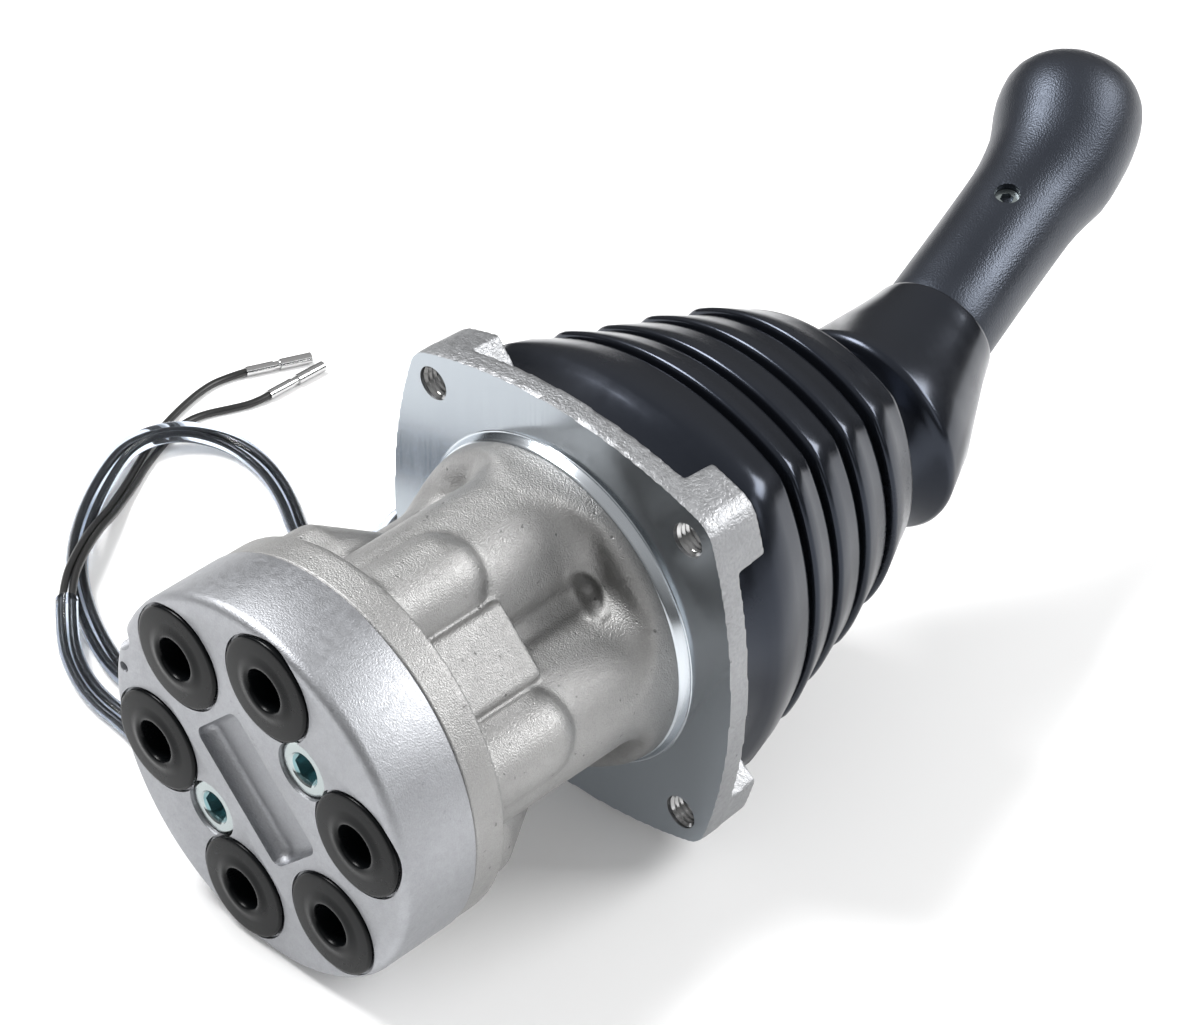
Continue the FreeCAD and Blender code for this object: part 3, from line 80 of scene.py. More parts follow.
# %% The upright frame that the pieces are modelled in
MM = 0.001
mounts = {mount["name"]: mount for mount in record["mounts"]}
joints = {joint["name"]: joint for joint in frame["joints"]}
VALVE_UP = -Vector(mounts["flange_bolts"]["axis"]).normalized()
VALVE_X = Vector(joints["tilt_side"]["axis"]).normalized()
VALVE_Y = VALVE_UP.cross(VALVE_X)
LAY_DOWN = Matrix((VALVE_X, VALVE_Y, VALVE_UP)).transposed().to_4x4()
FACE = 87.2


def spot(x, y, height):
    """A place in millimetres, its height counted from the port cover's front face."""
    return Vector((x, y, height - FACE)) * MM


def laid(point):
    return LAY_DOWN @ point


print("valve axis", [round(value, 4) for value in VALVE_UP])

# %% [markdown]
# The camera comes before any piece, because the cable's route is judged against its view. The lens and
# the place were found by matching the outline of the valve, and they are kept as plain lengths.

# %% Camera at the photograph's viewing angle
CAMERA_PLACE = (0.47194, -0.51032, 0.51613)
CAMERA_TURN = (54.603, -3.512, 44.610)
LENS = 119.62

camera_data = bpy.data.cameras.new("camera")
camera_data.lens = LENS
camera_data.sensor_width = 36.0
camera_data.clip_start = 0.01
camera = bpy.data.objects.new("camera", camera_data)
camera.location = CAMERA_PLACE
camera.rotation_euler = [math.radians(turn) for turn in CAMERA_TURN]
bpy.context.scene.collection.objects.link(camera)
bpy.context.scene.camera = camera
print("camera", camera_data.lens, "mm lens at", CAMERA_PLACE)

# %% [markdown]
# Materials share a few effects: the speckle of blasted aluminium, the fine leather grain of the grip,
# and soft smudges that break up a reflection. Each effect is a shader node group with named sockets,
# so one well-made pattern serves several finishes with other numbers.

# %% Small helpers for shader nodes
def add(tree, kind, settings=None, **inputs):
    """A new node; an input is a number, or another node's output to link from."""
    node = tree.nodes.new("ShaderNode" + kind)
    for name, value in (settings or {}).items():
        setattr(node, name, value)
    for name, value in inputs.items():
        target = node.inputs[int(name[1:])] if name[0] == "i" and name[1:].isdigit() else node.inputs[name]
        if isinstance(value, bpy.types.NodeSocket):
            tree.links.new(value, target)
        else:
            target.default_value = value
    return node


def maths(tree, operation, *values):
    inputs = {f"i{number}": value for number, value in enumerate(values)}
    return add(tree, "Math", {"operation": operation}, **inputs).outputs[0]


def ramp(tree, factor, low, high, first=0.0, last=1.0):
    return add(tree, "MapRange", {"clamp": True}, i0=factor, i1=low, i2=high, i3=first, i4=last).outputs[0]


def mix(tree, kind, factor, low, high):
    return add(tree, "Mix", {"data_type": kind}, Factor=factor, A=low, B=high).outputs["Result"]


def noise(tree, place, scale, detail=2.0, rough=0.5):
    made = add(tree, "TexNoise", Vector=place, Scale=scale, Detail=detail, Roughness=rough)
    return made.outputs["Fac"]


def bump(tree, height, strength, distance):
    return add(tree, "Bump", Height=height, Strength=strength, Distance=distance).outputs["Normal"]


# %% What every effect group has
OUTPUT_KINDS = {"Colour": "Color", "Roughness": "Float", "Normal": "Vector"}


def effect_group(name, outputs, **inputs):
    """A group whose input is a vector or a colour where its value has three or four numbers."""
    group = bpy.data.node_groups.new(name, "ShaderNodeTree")
    for label, value in inputs.items():
        kind = {3: "Vector", 4: "Color"}[len(value)] if isinstance(value, tuple) else "Float"
        made = group.interface.new_socket(name=label, in_out="INPUT", socket_type="NodeSocket" + kind)
        made.default_value = value
    for label in outputs:
        kind = OUTPUT_KINDS[label]
        group.interface.new_socket(name=label, in_out="OUTPUT", socket_type="NodeSocket" + kind)
    place = add(group, "TexCoord").outputs["Object"]
    return group, group.nodes.new("NodeGroupInput").outputs, place


def give(group, **outputs):
    """Feed the group's own outputs and hand the group back."""
    end = group.nodes.new("NodeGroupOutput")
    for label, value in outputs.items():
        group.links.new(value, end.inputs[label])
    return group


# %% Effect: the pebbled skin of blasted cast aluminium
# Pits are darkened to this colour as painted shade in their hollows; the bump also dips them
PAINTED_PIT_SHADE = (0.1, 0.1, 0.1, 1.0)


def make_cast_skin():
    group, given, place = effect_group(
        "cast_skin", ("Colour", "Roughness", "Normal"),
        Grain=1500.0, Depth=0.25, Shade=(0.55, 0.55, 0.55, 1.0), Pits=0.5)
    fine = noise(group, place, given["Grain"], 2.0, 0.6)
    coarse = noise(group, place, 600.0, 3.0, 0.55)
    cloud = noise(group, place, 55.0, 3.0, 0.5)
    speck = noise(group, place, 620.0, 1.0, 0.5)
    # The pit mask darkens the colour as painted shade, and it also lowers the bump height
    pit = maths(group, "MULTIPLY", ramp(group, speck, 0.2, 0.27, 1.0, 0.0), given["Pits"])
    lighter = add(group, "HueSaturation", Value=1.12, Color=given["Shade"]).outputs["Color"]
    tone = mix(group, "RGBA", ramp(group, cloud, 0.35, 0.7), given["Shade"], lighter)
    grain_tone = ramp(group, fine, 0.3, 0.7, 0.93, 1.07)
    grainy = add(group, "HueSaturation", Value=grain_tone, Color=tone).outputs["Color"]
    high = maths(group, "SUBTRACT", maths(group, "MULTIPLY_ADD", coarse, 0.35, fine), pit)
    return give(group, Colour=mix(group, "RGBA", pit, grainy, PAINTED_PIT_SHADE),
                Roughness=ramp(group, coarse, 0.3, 0.7, 0.42, 0.54),
                Normal=bump(group, high, given["Depth"], 0.00025))


# %% Effect: cell-like grain moulded into soft black plastic
def make_leather_grain():
    group, given, place = effect_group(
        "leather_grain", ("Roughness", "Normal"), Grain=900.0, Depth=0.5, Shine=0.45)
    cells = add(group, "TexVoronoi", {"feature": "SMOOTH_F1"}, Vector=place, Scale=given["Grain"],
                Smoothness=0.6).outputs["Distance"]
    fine = noise(group, place, 2600.0, 2.0, 0.6)
    high = maths(group, "MULTIPLY_ADD", fine, 0.35, cells)
    patch = ramp(group, noise(group, place, 38.0, 3.0), 0.3, 0.7, -0.05, 0.07)
    return give(group, Roughness=maths(group, "ADD", patch, given["Shine"]),
                Normal=bump(group, high, given["Depth"], 0.0002))


# %% Effect: faint smudges and waviness on a glossy moulding
def make_handled_gloss():
    group, given, place = effect_group(
        "handled_gloss", ("Roughness", "Normal"), Low=0.2, High=0.32, Wave=0.1)
    smudge = noise(group, place, 45.0, 5.0, 0.65)
    wave = noise(group, place, 60.0, 2.0)
    dust = noise(group, place, 1900.0, 2.0)
    high = maths(group, "MULTIPLY_ADD", dust, 0.05, wave)
    return give(group, Roughness=ramp(group, smudge, 0.35, 0.7, given["Low"], given["High"]),
                Normal=bump(group, high, given["Wave"], 0.0006))


# %% Effect: fine parallel or turned tool marks
def make_tool_marks():
    group, given, place = effect_group(
        "tool_marks", ("Roughness", "Normal"), Spacing=900.0, Stretch=(1.0, 0.02, 1.0), Depth=0.06)
    drawn = add(group, "VectorMath", {"operation": "MULTIPLY"}, i0=place, i1=given["Stretch"]).outputs[0]
    marks = noise(group, drawn, given["Spacing"], 4.0, 0.7)
    both = maths(group, "MULTIPLY_ADD", noise(group, place, 30.0, 3.0), 0.6, marks)
    return give(group, Roughness=ramp(group, both, 0.5, 1.1, 0.13, 0.24),
                Normal=bump(group, marks, given["Depth"], 0.0001))


CAST_SKIN = make_cast_skin()
LEATHER_GRAIN = make_leather_grain()
HANDLED_GLOSS = make_handled_gloss()
TOOL_MARKS = make_tool_marks()
print("effects", [group.name for group in bpy.data.node_groups])

# %% [markdown]
# A finish is one Principled shader with an effect group feeding it. Numbers that are the same all over
# the surface stay on the shader's own sockets.

# %% How a finish is made
FINISH = {}


def make_finish(name, group=None, effect=None, **sockets):
    material = bpy.data.materials.new(name)
    material.use_nodes = True
    tree = material.node_tree
    shader = tree.nodes["Principled BSDF"]
    for label, value in sockets.items():
        shader.inputs[label.replace("_", " ")].default_value = value
    if group:
        node = tree.nodes.new("ShaderNodeGroup")
        node.node_tree = group
        for label, value in effect.items():
            node.inputs[label].default_value = value
        for source, target in (("Colour", "Base Color"), ("Roughness", "Roughness"), ("Normal", "Normal")):
            if source in node.outputs:
                tree.links.new(node.outputs[source], shader.inputs[target])
    FINISH[name] = material


def grey(level, tint=0.0):
    return (level * (1 - tint), level, level * (1 + tint), 1.0)


# %% Metals
make_finish("body_casting", CAST_SKIN, dict(
    Grain=2600.0, Depth=0.7, Shade=(0.33, 0.328, 0.325, 1.0), Pits=0.6), Metallic=1.0)
make_finish("flange_skin", CAST_SKIN, dict(
    Grain=1300.0, Depth=0.9, Shade=(0.32, 0.325, 0.335, 1.0), Pits=0.5), Metallic=1.0)
make_finish("cover_casting", CAST_SKIN, dict(
    Grain=2400.0, Depth=0.36, Shade=(0.345, 0.352, 0.37, 1.0), Pits=0.2), Metallic=1.0)
make_finish("milled_face", TOOL_MARKS, dict(
    Spacing=1300.0, Stretch=(1.0, 0.03, 0.03), Depth=0.012), Base_Color=grey(0.42, 0.08), Metallic=1.0)
make_finish("turned_edge", TOOL_MARKS, dict(
    Spacing=900.0, Stretch=(0.02, 1.0, 0.02), Depth=0.006), Base_Color=grey(0.62, 0.06), Metallic=1.0)
make_finish("zinc", TOOL_MARKS, dict(
    Spacing=1100.0, Stretch=(1.0, 1.0, 1.0), Depth=0.1), Base_Color=(0.42, 0.47, 0.47, 1.0), Metallic=0.95)
# The socket's zinc: a teal tint of the plating, made darker as painted shade in the recess
make_finish("zinc_socket_tint_painted_shade", TOOL_MARKS, dict(
    Spacing=1100.0, Stretch=(1.0, 1.0, 0.1), Depth=0.1), Base_Color=(0.22, 0.36, 0.38, 1.0), Metallic=0.9)
make_finish("tinned", TOOL_MARKS, dict(
    Spacing=1600.0, Stretch=(0.2, 1.0, 1.0), Depth=0.2), Base_Color=grey(0.55), Metallic=1.0)
make_finish("steel", TOOL_MARKS, dict(
    Spacing=1400.0, Stretch=(1.0, 0.1, 1.0), Depth=0.1), Base_Color=grey(0.5), Metallic=1.0)
make_finish("brass", TOOL_MARKS, dict(
    Spacing=1400.0, Stretch=(1.0, 0.1, 1.0), Depth=0.1), Base_Color=(0.7, 0.52, 0.26, 1.0), Metallic=1.0)

# %% Rubbers and plastics
make_finish("boot_rubber", HANDLED_GLOSS, dict(Low=0.16, High=0.3, Wave=0.1),
            Base_Color=(0.0055, 0.0063, 0.0085, 1.0), Specular_IOR_Level=0.52,
            Specular_Tint=(0.7, 0.79, 1.0, 1.0))
make_finish("grip_plastic", LEATHER_GRAIN, dict(Grain=2300.0, Depth=0.34, Shine=0.36),
            Base_Color=(0.0095, 0.0105, 0.0135, 1.0), Specular_IOR_Level=0.62,
            Specular_Tint=(0.7, 0.8, 1.0, 1.0))
make_finish("button_plastic", HANDLED_GLOSS, dict(Low=0.28, High=0.4, Wave=0.03), Base_Color=grey(0.015))
make_finish("plug_plastic", HANDLED_GLOSS, dict(Low=0.22, High=0.34, Wave=0.03),
            Base_Color=grey(0.004, 0.15), Specular_IOR_Level=0.13)
make_finish("wire_vinyl", HANDLED_GLOSS, dict(Low=0.3, High=0.42, Wave=0.05), Base_Color=grey(0.012))
make_finish("seal_rubber", LEATHER_GRAIN, dict(Grain=2500.0, Depth=0.1, Shine=0.5), Base_Color=grey(0.014))
make_finish("clear_vinyl", HANDLED_GLOSS, dict(Low=0.05, High=0.14, Wave=0.3),
            Base_Color=(0.74, 0.82, 0.94, 1.0), Transmission_Weight=1.0, IOR=1.2)
print("finishes", sorted(FINISH))

# %% [markdown]
# The pieces that stay as packed still need a finish. Most of them are inside the valve, and show only
# when someone takes it apart, but each one gets the metal or rubber that it really has.

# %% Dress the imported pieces
CARRIED = (
    ("steel", ("retainer_plate", "joint_base", "joint_cross", "cross_pins", "joint_yoke", "actuating_disc",
               "disc_nut", "lever_rod", "pusher_", "spool_", "spring_seat_", "return_spring_",
               "metering_spring_")),
    ("brass", ("guide_bushing_",)),
    ("seal_rubber", ("port_seal_rings", "wiper_seals", "bushing_rings")),
    ("zinc", ("plate_screws", "set_screw", "cover_screws")),
    ("tinned", ("terminal_",)),
    ("button_plastic", ("button_switch", "push_button")),
    ("cover_casting", ("port_cover",)),
    ("body_casting", ("valve_body",)),
    ("plug_plastic", ("port_plugs",)),
    ("grip_plastic", ("grip",)),
    ("boot_rubber", ("boot",)),
    ("seal_rubber", ("cable_grommet",)),
    ("wire_vinyl", ("cable_sleeve", "wire_")),
)
for finish, starts in CARRIED:
    for name, node in nodes.items():
        if name.startswith(starts):
            node.data.materials.clear()
            node.data.materials.append(FINISH[finish])
print("dressed", sum(1 for node in nodes.values() if node.data.materials), "packed pieces")

# %% [markdown]
# Every modelled piece ends the same way: its modifiers are applied, it is laid down and its object goes
# back to the origin. Most pieces are then tied to the body that they move with; the boot's halves are not.

# %% Select, edit and finish a piece
def only(piece):
    bpy.ops.object.select_all(action="DESELECT")
    piece.select_set(True)
    bpy.context.view_layer.objects.active = piece


def edit(piece):
    """Open the piece in edit mode, with all of it selected."""
    only(piece)
    bpy.ops.object.mode_set(mode="EDIT")
    bpy.ops.mesh.select_all(action="SELECT")


def end_edit():
    bpy.ops.object.mode_set(mode="OBJECT")


def join(parts):
    only(parts[0])
    for part in parts[1:]:
        part.select_set(True)
    if len(parts) > 1:
        bpy.ops.object.join()
    return bpy.context.object


def add_modifier(piece, kind, **settings):
    modifier = piece.modifiers.new(kind.lower(), kind)
    for name, value in settings.items():
        setattr(modifier, name, value)


def apply_modifiers(piece):
    bpy.context.view_layer.objects.active = piece
    for modifier in list(piece.modifiers):
        bpy.ops.object.modifier_apply(modifier=modifier.name)


def soften_edges(piece, width, segments, degrees):
    """Bevel the edges that turn by more than some degrees."""
    add_modifier(piece, "BEVEL", width=width * MM, segments=segments, limit_method="ANGLE",
                 angle_limit=math.radians(degrees))
    apply_modifiers(piece)


def smooth_by_angle(piece, degrees):
    only(piece)
    bpy.ops.object.shade_smooth_by_angle(angle=math.radians(degrees))


def recalculate(piece):
    edit(piece)
    bpy.ops.mesh.remove_doubles(threshold=1e-6)
    bpy.ops.mesh.normals_make_consistent(inside=False)
    end_edit()


def settle(piece, name, finish):
    """Apply what is pending, lay the piece down and put its place into its mesh."""
    only(piece)
    apply_modifiers(piece)
    piece.name = name
    piece.data.name = name
    piece.data.transform(LAY_DOWN @ piece.matrix_world)
    piece.matrix_world = Matrix.Identity(4)
    piece.data.materials.clear()
    piece.data.materials.append(FINISH[finish])
    piece.select_set(False)
    print(name, len(piece.data.polygons), "faces")


# %% [markdown]
# Round mouldings such as the boot, the grip and the plugs are stacks of rings. A circle is added and
# extruded once for each ring, which gives clean quads with no pole. Then each ring is set to its own
# centre, tilt, size and squareness, the way rings are scaled one by one by hand.

# %% A stack of rings
CORNER_SHARE = 0.2


def ring_stack(rings, sides, close=(False, False)):
    """A tube with one loop for each ring; a ring turns an angle into a place."""
    bpy.ops.object.select_all(action="DESELECT")
    bpy.ops.mesh.primitive_circle_add(vertices=sides, radius=1.0)
    piece = bpy.context.object
    edit(piece)
    for _ in rings[1:]:
        bpy.ops.mesh.extrude_region_move(TRANSFORM_OT_translate={"value": (0, 0, 1)})
    end_edit()
    mesh = bmesh.new()
    mesh.from_mesh(piece.data)
    for wanted, end in zip(close, (0, len(rings) - 1)):
        if wanted:
            loop = [edge for edge in mesh.edges if all(round(vertex.co.z) == end for vertex in edge.verts)]
            bmesh.ops.holes_fill(mesh, edges=loop, sides=0)
    for vertex in mesh.verts:
        vertex.co = rings[round(vertex.co.z)](math.atan2(vertex.co.y, vertex.co.x))
    mesh.to_mesh(piece.data)
    mesh.free()
    recalculate(piece)
    return piece


def level_ring(height, radius, squareness=2.0, x=0.0, y=0.0):
    """A level ring in millimetres: a square with bulged sides where its squareness is over 2."""
    def place(turn):
        reach = radius
        if squareness > 2.0:
            corner = CORNER_SHARE * radius
            diagonal = radius * math.sqrt(2.0) * 2.0 ** (-1.0 / squareness)
            reach = square_reach(turn, radius, (diagonal - corner) / math.sqrt(2.0), corner)
        return spot(x + reach * math.cos(turn), y + reach * math.sin(turn), height)
    return place


def square_reach(turn, bulge, pitch, corner):
    """How far a square of four bulged sides and four round corners reaches at an angle."""
    side = (pitch ** 2 + (pitch - bulge) ** 2 - corner ** 2) / (2 * (bulge - pitch - corner))
    centre = bulge - side
    swing = math.atan2(pitch, pitch - centre)
    meets = math.atan2(pitch + corner * math.sin(swing), pitch + corner * math.cos(swing))
    turn = turn % (math.pi / 2)
    turn = min(turn, math.pi / 2 - turn)
    c, s = math.cos(turn), math.sin(turn)
    if turn <= meets:
        return centre * c + math.sqrt(side ** 2 - (centre * s) ** 2)
    return pitch * (c + s) + math.sqrt(max(0.0, corner ** 2 - (pitch * (c - s)) ** 2))


def tilted_ring(centre, normal, radius):
    """A round ring square to a slanted line, its first corner on the x side."""
    across = (Vector((1, 0, 0)) - normal * normal.x).normalized()
    beyond = normal.cross(across)

    def place(turn):
        return centre + (across * math.cos(turn) + beyond * math.sin(turn)) * radius * MM
    return place


# %% [markdown]
# The port cover is a thick die-cast disc with six plugged ports and two screws. A stack of rings is cut
# by copies of simple cutters with Boolean modifiers, and a Bevel modifier rounds what the die leaves
# round. The big front rounding is made in the rings, because it is several times wider.

# %% Port cover
COVER_RADIUS = 44.9
COVER_THICK = 20.0
FRONT_ROUND = 2.4
PORT_CIRCLE = 31.6
PORT_TURN = 34.7
PORT_BORE = 6.6
PORT_DEEP = 15.0
PLUG_SEAT = 12.55
PLUG_SEAT_DEEP = 1.0
SCREW_LINE = -45.0
SCREW_OFFSET = 21.1
SCREW_BORE = 6.85
SCREW_DEEP = 8.3
TROUGH = (18.6, 33.6, 6.0)
TROUGH_ROUND = 2.6
NOTCH_RADIUS = 4.0
NOTCH_TURN = 201.9
DOT_RADIUS = 1.3
DOT_TURN = 191.9


def around(radius, degrees):
    turn = math.radians(degrees)
    return radius * math.cos(turn), radius * math.sin(turn)


PORTS = [around(PORT_CIRCLE, SCREW_LINE + turn)
         for turn in (90, -90, PORT_TURN, -PORT_TURN, 180 + PORT_TURN, 180 - PORT_TURN)]
SCREWS = [around(SCREW_OFFSET, SCREW_LINE + turn) for turn in (0, 180)]


def front_rings(radius, size, steps=6):
    """Rings round the front rim's quarter circle, from the level face to the upright side."""
    rings = []
    for step in range(steps + 1):
        turn = math.radians(90.0 * step / steps)
        rings.append(level_ring(size * (1 - math.cos(turn)), radius - size * (1 - math.sin(turn))))
    return rings


def cutter(radius, low, high, x=0.0, y=0.0, sides=64):
    bpy.ops.object.select_all(action="DESELECT")
    bpy.ops.mesh.primitive_cylinder_add(vertices=sides, radius=radius * MM, depth=(high - low) * MM,
                                        location=spot(x, y, (low + high) / 2))
    return bpy.context.object


def cut(piece, tools):
    """Join the tools into one and take it from the piece."""
    tool = join(tools)
    only(piece)
    add_modifier(piece, "BOOLEAN", object=tool, operation="DIFFERENCE", solver="EXACT",
                 use_self=len(tools) > 1)
    apply_modifiers(piece)
    bpy.data.objects.remove(tool)


def trough_cutter():
    """A pocket with round corners, cut into the face between the screws."""
    bpy.ops.object.select_all(action="DESELECT")
    bpy.ops.mesh.primitive_cube_add(size=1.0, location=spot(0, 0, 1.0),
                                    rotation=(0, 0, math.radians(SCREW_LINE)))
    box = bpy.context.object
    box.scale = Vector(TROUGH) * MM
    bpy.ops.object.transform_apply(location=False, rotation=False, scale=True)
    soften_edges(box, TROUGH_ROUND, 5, 40)
    return box


# %% Cut and round the cover
def port_cover():
    rings = front_rings(COVER_RADIUS, FRONT_ROUND)
    rings.append(level_ring(COVER_THICK - 0.5, COVER_RADIUS))
    rings.append(level_ring(COVER_THICK, COVER_RADIUS - 0.6))
    cover = ring_stack(rings, 192, close=(True, True))
    cut(cover, [cutter(PLUG_SEAT, -1.0, PLUG_SEAT_DEEP, x, y) for x, y in PORTS])
    cut(cover, [cutter(PORT_BORE, -1.0, PORT_DEEP, x, y, 48) for x, y in PORTS])
    cut(cover, [cutter(SCREW_BORE, -1.0, SCREW_DEEP, x, y) for x, y in SCREWS])
    cut(cover, [cutter(NOTCH_RADIUS, -1.0, COVER_THICK + 1.0, *around(COVER_RADIUS + 0.6, NOTCH_TURN), 48)])
    cut(cover, [cutter(DOT_RADIUS, -1.0, 1.3, *around(COVER_RADIUS - 3.2, DOT_TURN), 32)])
    cut(cover, [trough_cutter()])
    soften_edges(cover, 0.35, 2, 50)
    smooth_by_angle(cover, 35)
    settle(cover, "port_cover_casting", "cover_casting")
    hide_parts("port_cover")
    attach(cover, "housing")


port_cover()

# %% [markdown]
# The six transit plugs are all one moulding: a thin round flange, a low ring that rises softly towards
# a deep blind hole. One is modelled as rings and copied to the other ports, each with its own mesh.

# %% Port plugs
PLUG_PROFILE = (
    (9.0, 4.6), (0.3, 4.9), (-0.75, 4.95), (-1.05, 5.25), (-1.12, 5.9), (-1.0, 6.6), (-0.72, 7.4),
    (-0.62, 8.4), (-0.6, 11.2), (-0.52, 11.7), (-0.28, 11.97), (0.0, 12.0), (0.7, 12.0), (1.0, 11.8),
)


def port_plug(number, x, y):
    rings = [level_ring(height, radius, 2.0, x, y) for height, radius in PLUG_PROFILE]
    plug = ring_stack(rings, 64, close=(True, False))
    smooth_by_angle(plug, 60)
    settle(plug, f"port_plug_{number}", "plug_plastic")
    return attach(plug, "housing")


for number, (x, y) in enumerate(PORTS, start=1):
    plug = port_plug(number, x, y)
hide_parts("port_plugs")

# %% [markdown]
# The cover's two screws are zinc-plated socket caps. Their heads are rings too: a rounded rim, a cone
# into the socket, and a last pair of rings that is brought to a hexagon. The socket gets a teal-tinted
# zinc that is darker than the head, painted shade in its recess.

# %% Cover screws
HEAD_RADIUS = 6.5
HEAD_TOP = 0.7
SOCKET_FLATS = 6.0
SOCKET_DEEP = 4.0


def cover_screw(number, x, y):
    rings = [level_ring(height, radius, 2.0, x, y) for height, radius in (
        (8.3, HEAD_RADIUS - 0.2), (8.0, HEAD_RADIUS), (HEAD_TOP + 0.7, HEAD_RADIUS),
        (HEAD_TOP + 0.3, HEAD_RADIUS - 0.12), (HEAD_TOP + 0.05, HEAD_RADIUS - 0.5),
        (HEAD_TOP, HEAD_RADIUS - 0.9), (HEAD_TOP, 4.1), (HEAD_TOP + 0.35, 3.75))]
    rings.append(hexagon_ring(HEAD_TOP + 0.75, SOCKET_FLATS / 2, x, y))
    rings.append(hexagon_ring(HEAD_TOP + SOCKET_DEEP, SOCKET_FLATS / 2, x, y))
    screw = ring_stack(rings, 72, close=(True, True))
    smooth_by_angle(screw, 35)
    settle(screw, f"cover_screw_{number}", "zinc")
    # Faces deep in the socket take the tinted zinc that is darker as painted shade
    screw.data.materials.append(FINISH["zinc_socket_tint_painted_shade"])
    front = laid(spot(x, y, 0.0))
    for face in screw.data.polygons:
        away = face.center - front
        depth = away.dot(VALVE_UP)
        if (away - VALVE_UP * depth).length < 3.9 * MM and depth > (HEAD_TOP + 0.2) * MM:
            face.material_index = 1
    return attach(screw, "housing")


def hexagon_ring(height, apothem, x, y):
    def place(turn):
        sixth = math.pi / 3
        away = (turn % sixth) - sixth / 2
        radius = apothem / math.cos(away)
        return spot(x + radius * math.cos(turn), y + radius * math.sin(turn), height)
    return place


for number, (x, y) in enumerate(SCREWS, start=1):
    screw = cover_screw(number, x, y)
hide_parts("cover_screws")

# %% [markdown]
# The body is a sand-blasted casting, and what makes it look cast are its soft blends: lobes, port
# bosses and the drum run into each other with no sharp line. Modelling each blend would take hours.
# Instead the plain forms are overlapped, fused by a voxel Remesh, and relaxed by a Smooth modifier,
# which is how such a form is sketched in clay.

# %% Body casting
BODY_LOW = 20.0
# The plain forms start below the face that is cut flat at the end
FORM_LOW = BODY_LOW - 4.0
RIM_END = 28.7
CORE_RADIUS = 25.4
LOBE_CIRCLE = 22.0
LOBE_RADIUS = 16.6
BOSS_RADIUS = 10.5
BOSS_END = 57.0
PAD = (34.0, 18.0, 33.5)
DRUM_RADIUS = 38.9
SPIGOT_HIGH = 2.5
QUARTERS = (0, 90, 180, 270)


def boss(x, y, radius, low, high):
    """A round column with a domed end."""
    column = cutter(radius, low, high - radius, x, y, 64)
    bpy.ops.mesh.primitive_uv_sphere_add(segments=64, ring_count=32, radius=radius * MM,
                                         location=spot(x, y, high - radius))
    ball = bpy.context.object
    return [column, ball]


def side_pad(side):
    """The flat pad on the screw line, on one side of the axis."""
    bpy.ops.mesh.primitive_cube_add(size=1.0, rotation=(0, 0, math.radians(SCREW_LINE)))
    box = bpy.context.object
    box.scale = Vector(PAD) * MM
    box.location = spot(*around(PAD[0] / 2 * side, SCREW_LINE), BODY_LOW + PAD[2] / 2)
    return box


def drum_piece():
    """The round head, whose underside is slightly hollow."""
    rings = [level_ring(height, radius) for height, radius in (
        (81.4, 19.0), (81.2, 26.0), (80.6, 31.5), (80.2, 34.5), (80.3, 36.6), (81.0, 38.0), (82.4, 38.8),
        (84.2, DRUM_RADIUS), (FACE + 1.0, DRUM_RADIUS))]
    return ring_stack(rings, 160, close=(True, True))


def lobe_flare(x, y):
    """The wide blend from a lobe into the drum, kept inside the drum's own round."""
    def ring(height, radius):
        def place(turn):
            across, along = x + radius * math.cos(turn), y + radius * math.sin(turn)
            share = min(1.0, (DRUM_RADIUS - 0.2) / math.hypot(across, along))
            return spot(across * share, along * share, height)
        return place
    rings = [ring(height, radius) for height, radius in (
        (68.0, 15.5), (72.0, 16.5), (75.0, 16.9), (77.2, 17.5), (79.0, 18.7), (80.3, 20.6), (81.2, 23.0),
        (82.2, 26.0), (FACE + 1.0, 30.0))]
    return ring_stack(rings, 128, close=(True, True))


def sloped_boss(x, y):
    """The boss of a port square to the screws, whose outer side slopes in to the valley."""
    inner = 1 - 8.0 / PORT_CIRCLE
    rings = [level_ring(FORM_LOW, BOSS_RADIUS, 2.0, x, y), level_ring(41.0, BOSS_RADIUS - 0.1, 2.0, x, y),
             level_ring(61.0, 5.5, 2.0, x * inner, y * inner)]
    return ring_stack(rings, 64, close=(True, True))


# %% Fuse, relax and trim the casting
def body_casting():
    lobes = [around(LOBE_CIRCLE, turn) for turn in QUARTERS]
    parts = [cutter(COVER_RADIUS - 0.25, FORM_LOW, RIM_END, sides=160)]
    parts.append(cutter(CORE_RADIUS, FORM_LOW, FACE, sides=128))
    parts += [cutter(LOBE_RADIUS, FORM_LOW, FACE + 1.0, x, y, 128) for x, y in lobes]
    for x, y in PORTS[2:]:
        parts += boss(x, y, BOSS_RADIUS, FORM_LOW, BOSS_END)
    parts += [sloped_boss(x, y) for x, y in PORTS[:2]]
    parts += [lobe_flare(x, y) for x, y in lobes]
    parts += [side_pad(1), side_pad(-1), drum_piece()]
    casting = join(parts)
    bpy.ops.object.transform_apply(location=True, rotation=True, scale=True)
    add_modifier(casting, "REMESH", mode="VOXEL", voxel_size=0.62 * MM)
    add_modifier(casting, "SMOOTH", factor=0.6, iterations=20)
    apply_modifiers(casting)
    trim(casting, BODY_LOW + 0.06, True)
    trim(casting, FACE - SPIGOT_HIGH + 0.05, False)
    dimple(casting)
    only(casting)
    bpy.ops.object.shade_smooth()
    settle(casting, "body_casting", "body_casting")
    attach(casting, "housing")


def trim(piece, height, below):
    """Cut the piece off flat at a height, and close the cut."""
    edit(piece)
    bpy.ops.mesh.bisect(plane_co=spot(0, 0, height), plane_no=(0, 0, 1), use_fill=True,
                        clear_inner=below, clear_outer=not below)
    end_edit()


DIMPLE_LONG = 4.8
DIMPLE_WIDE = 2.2
DIMPLE_DEEP = 1.1


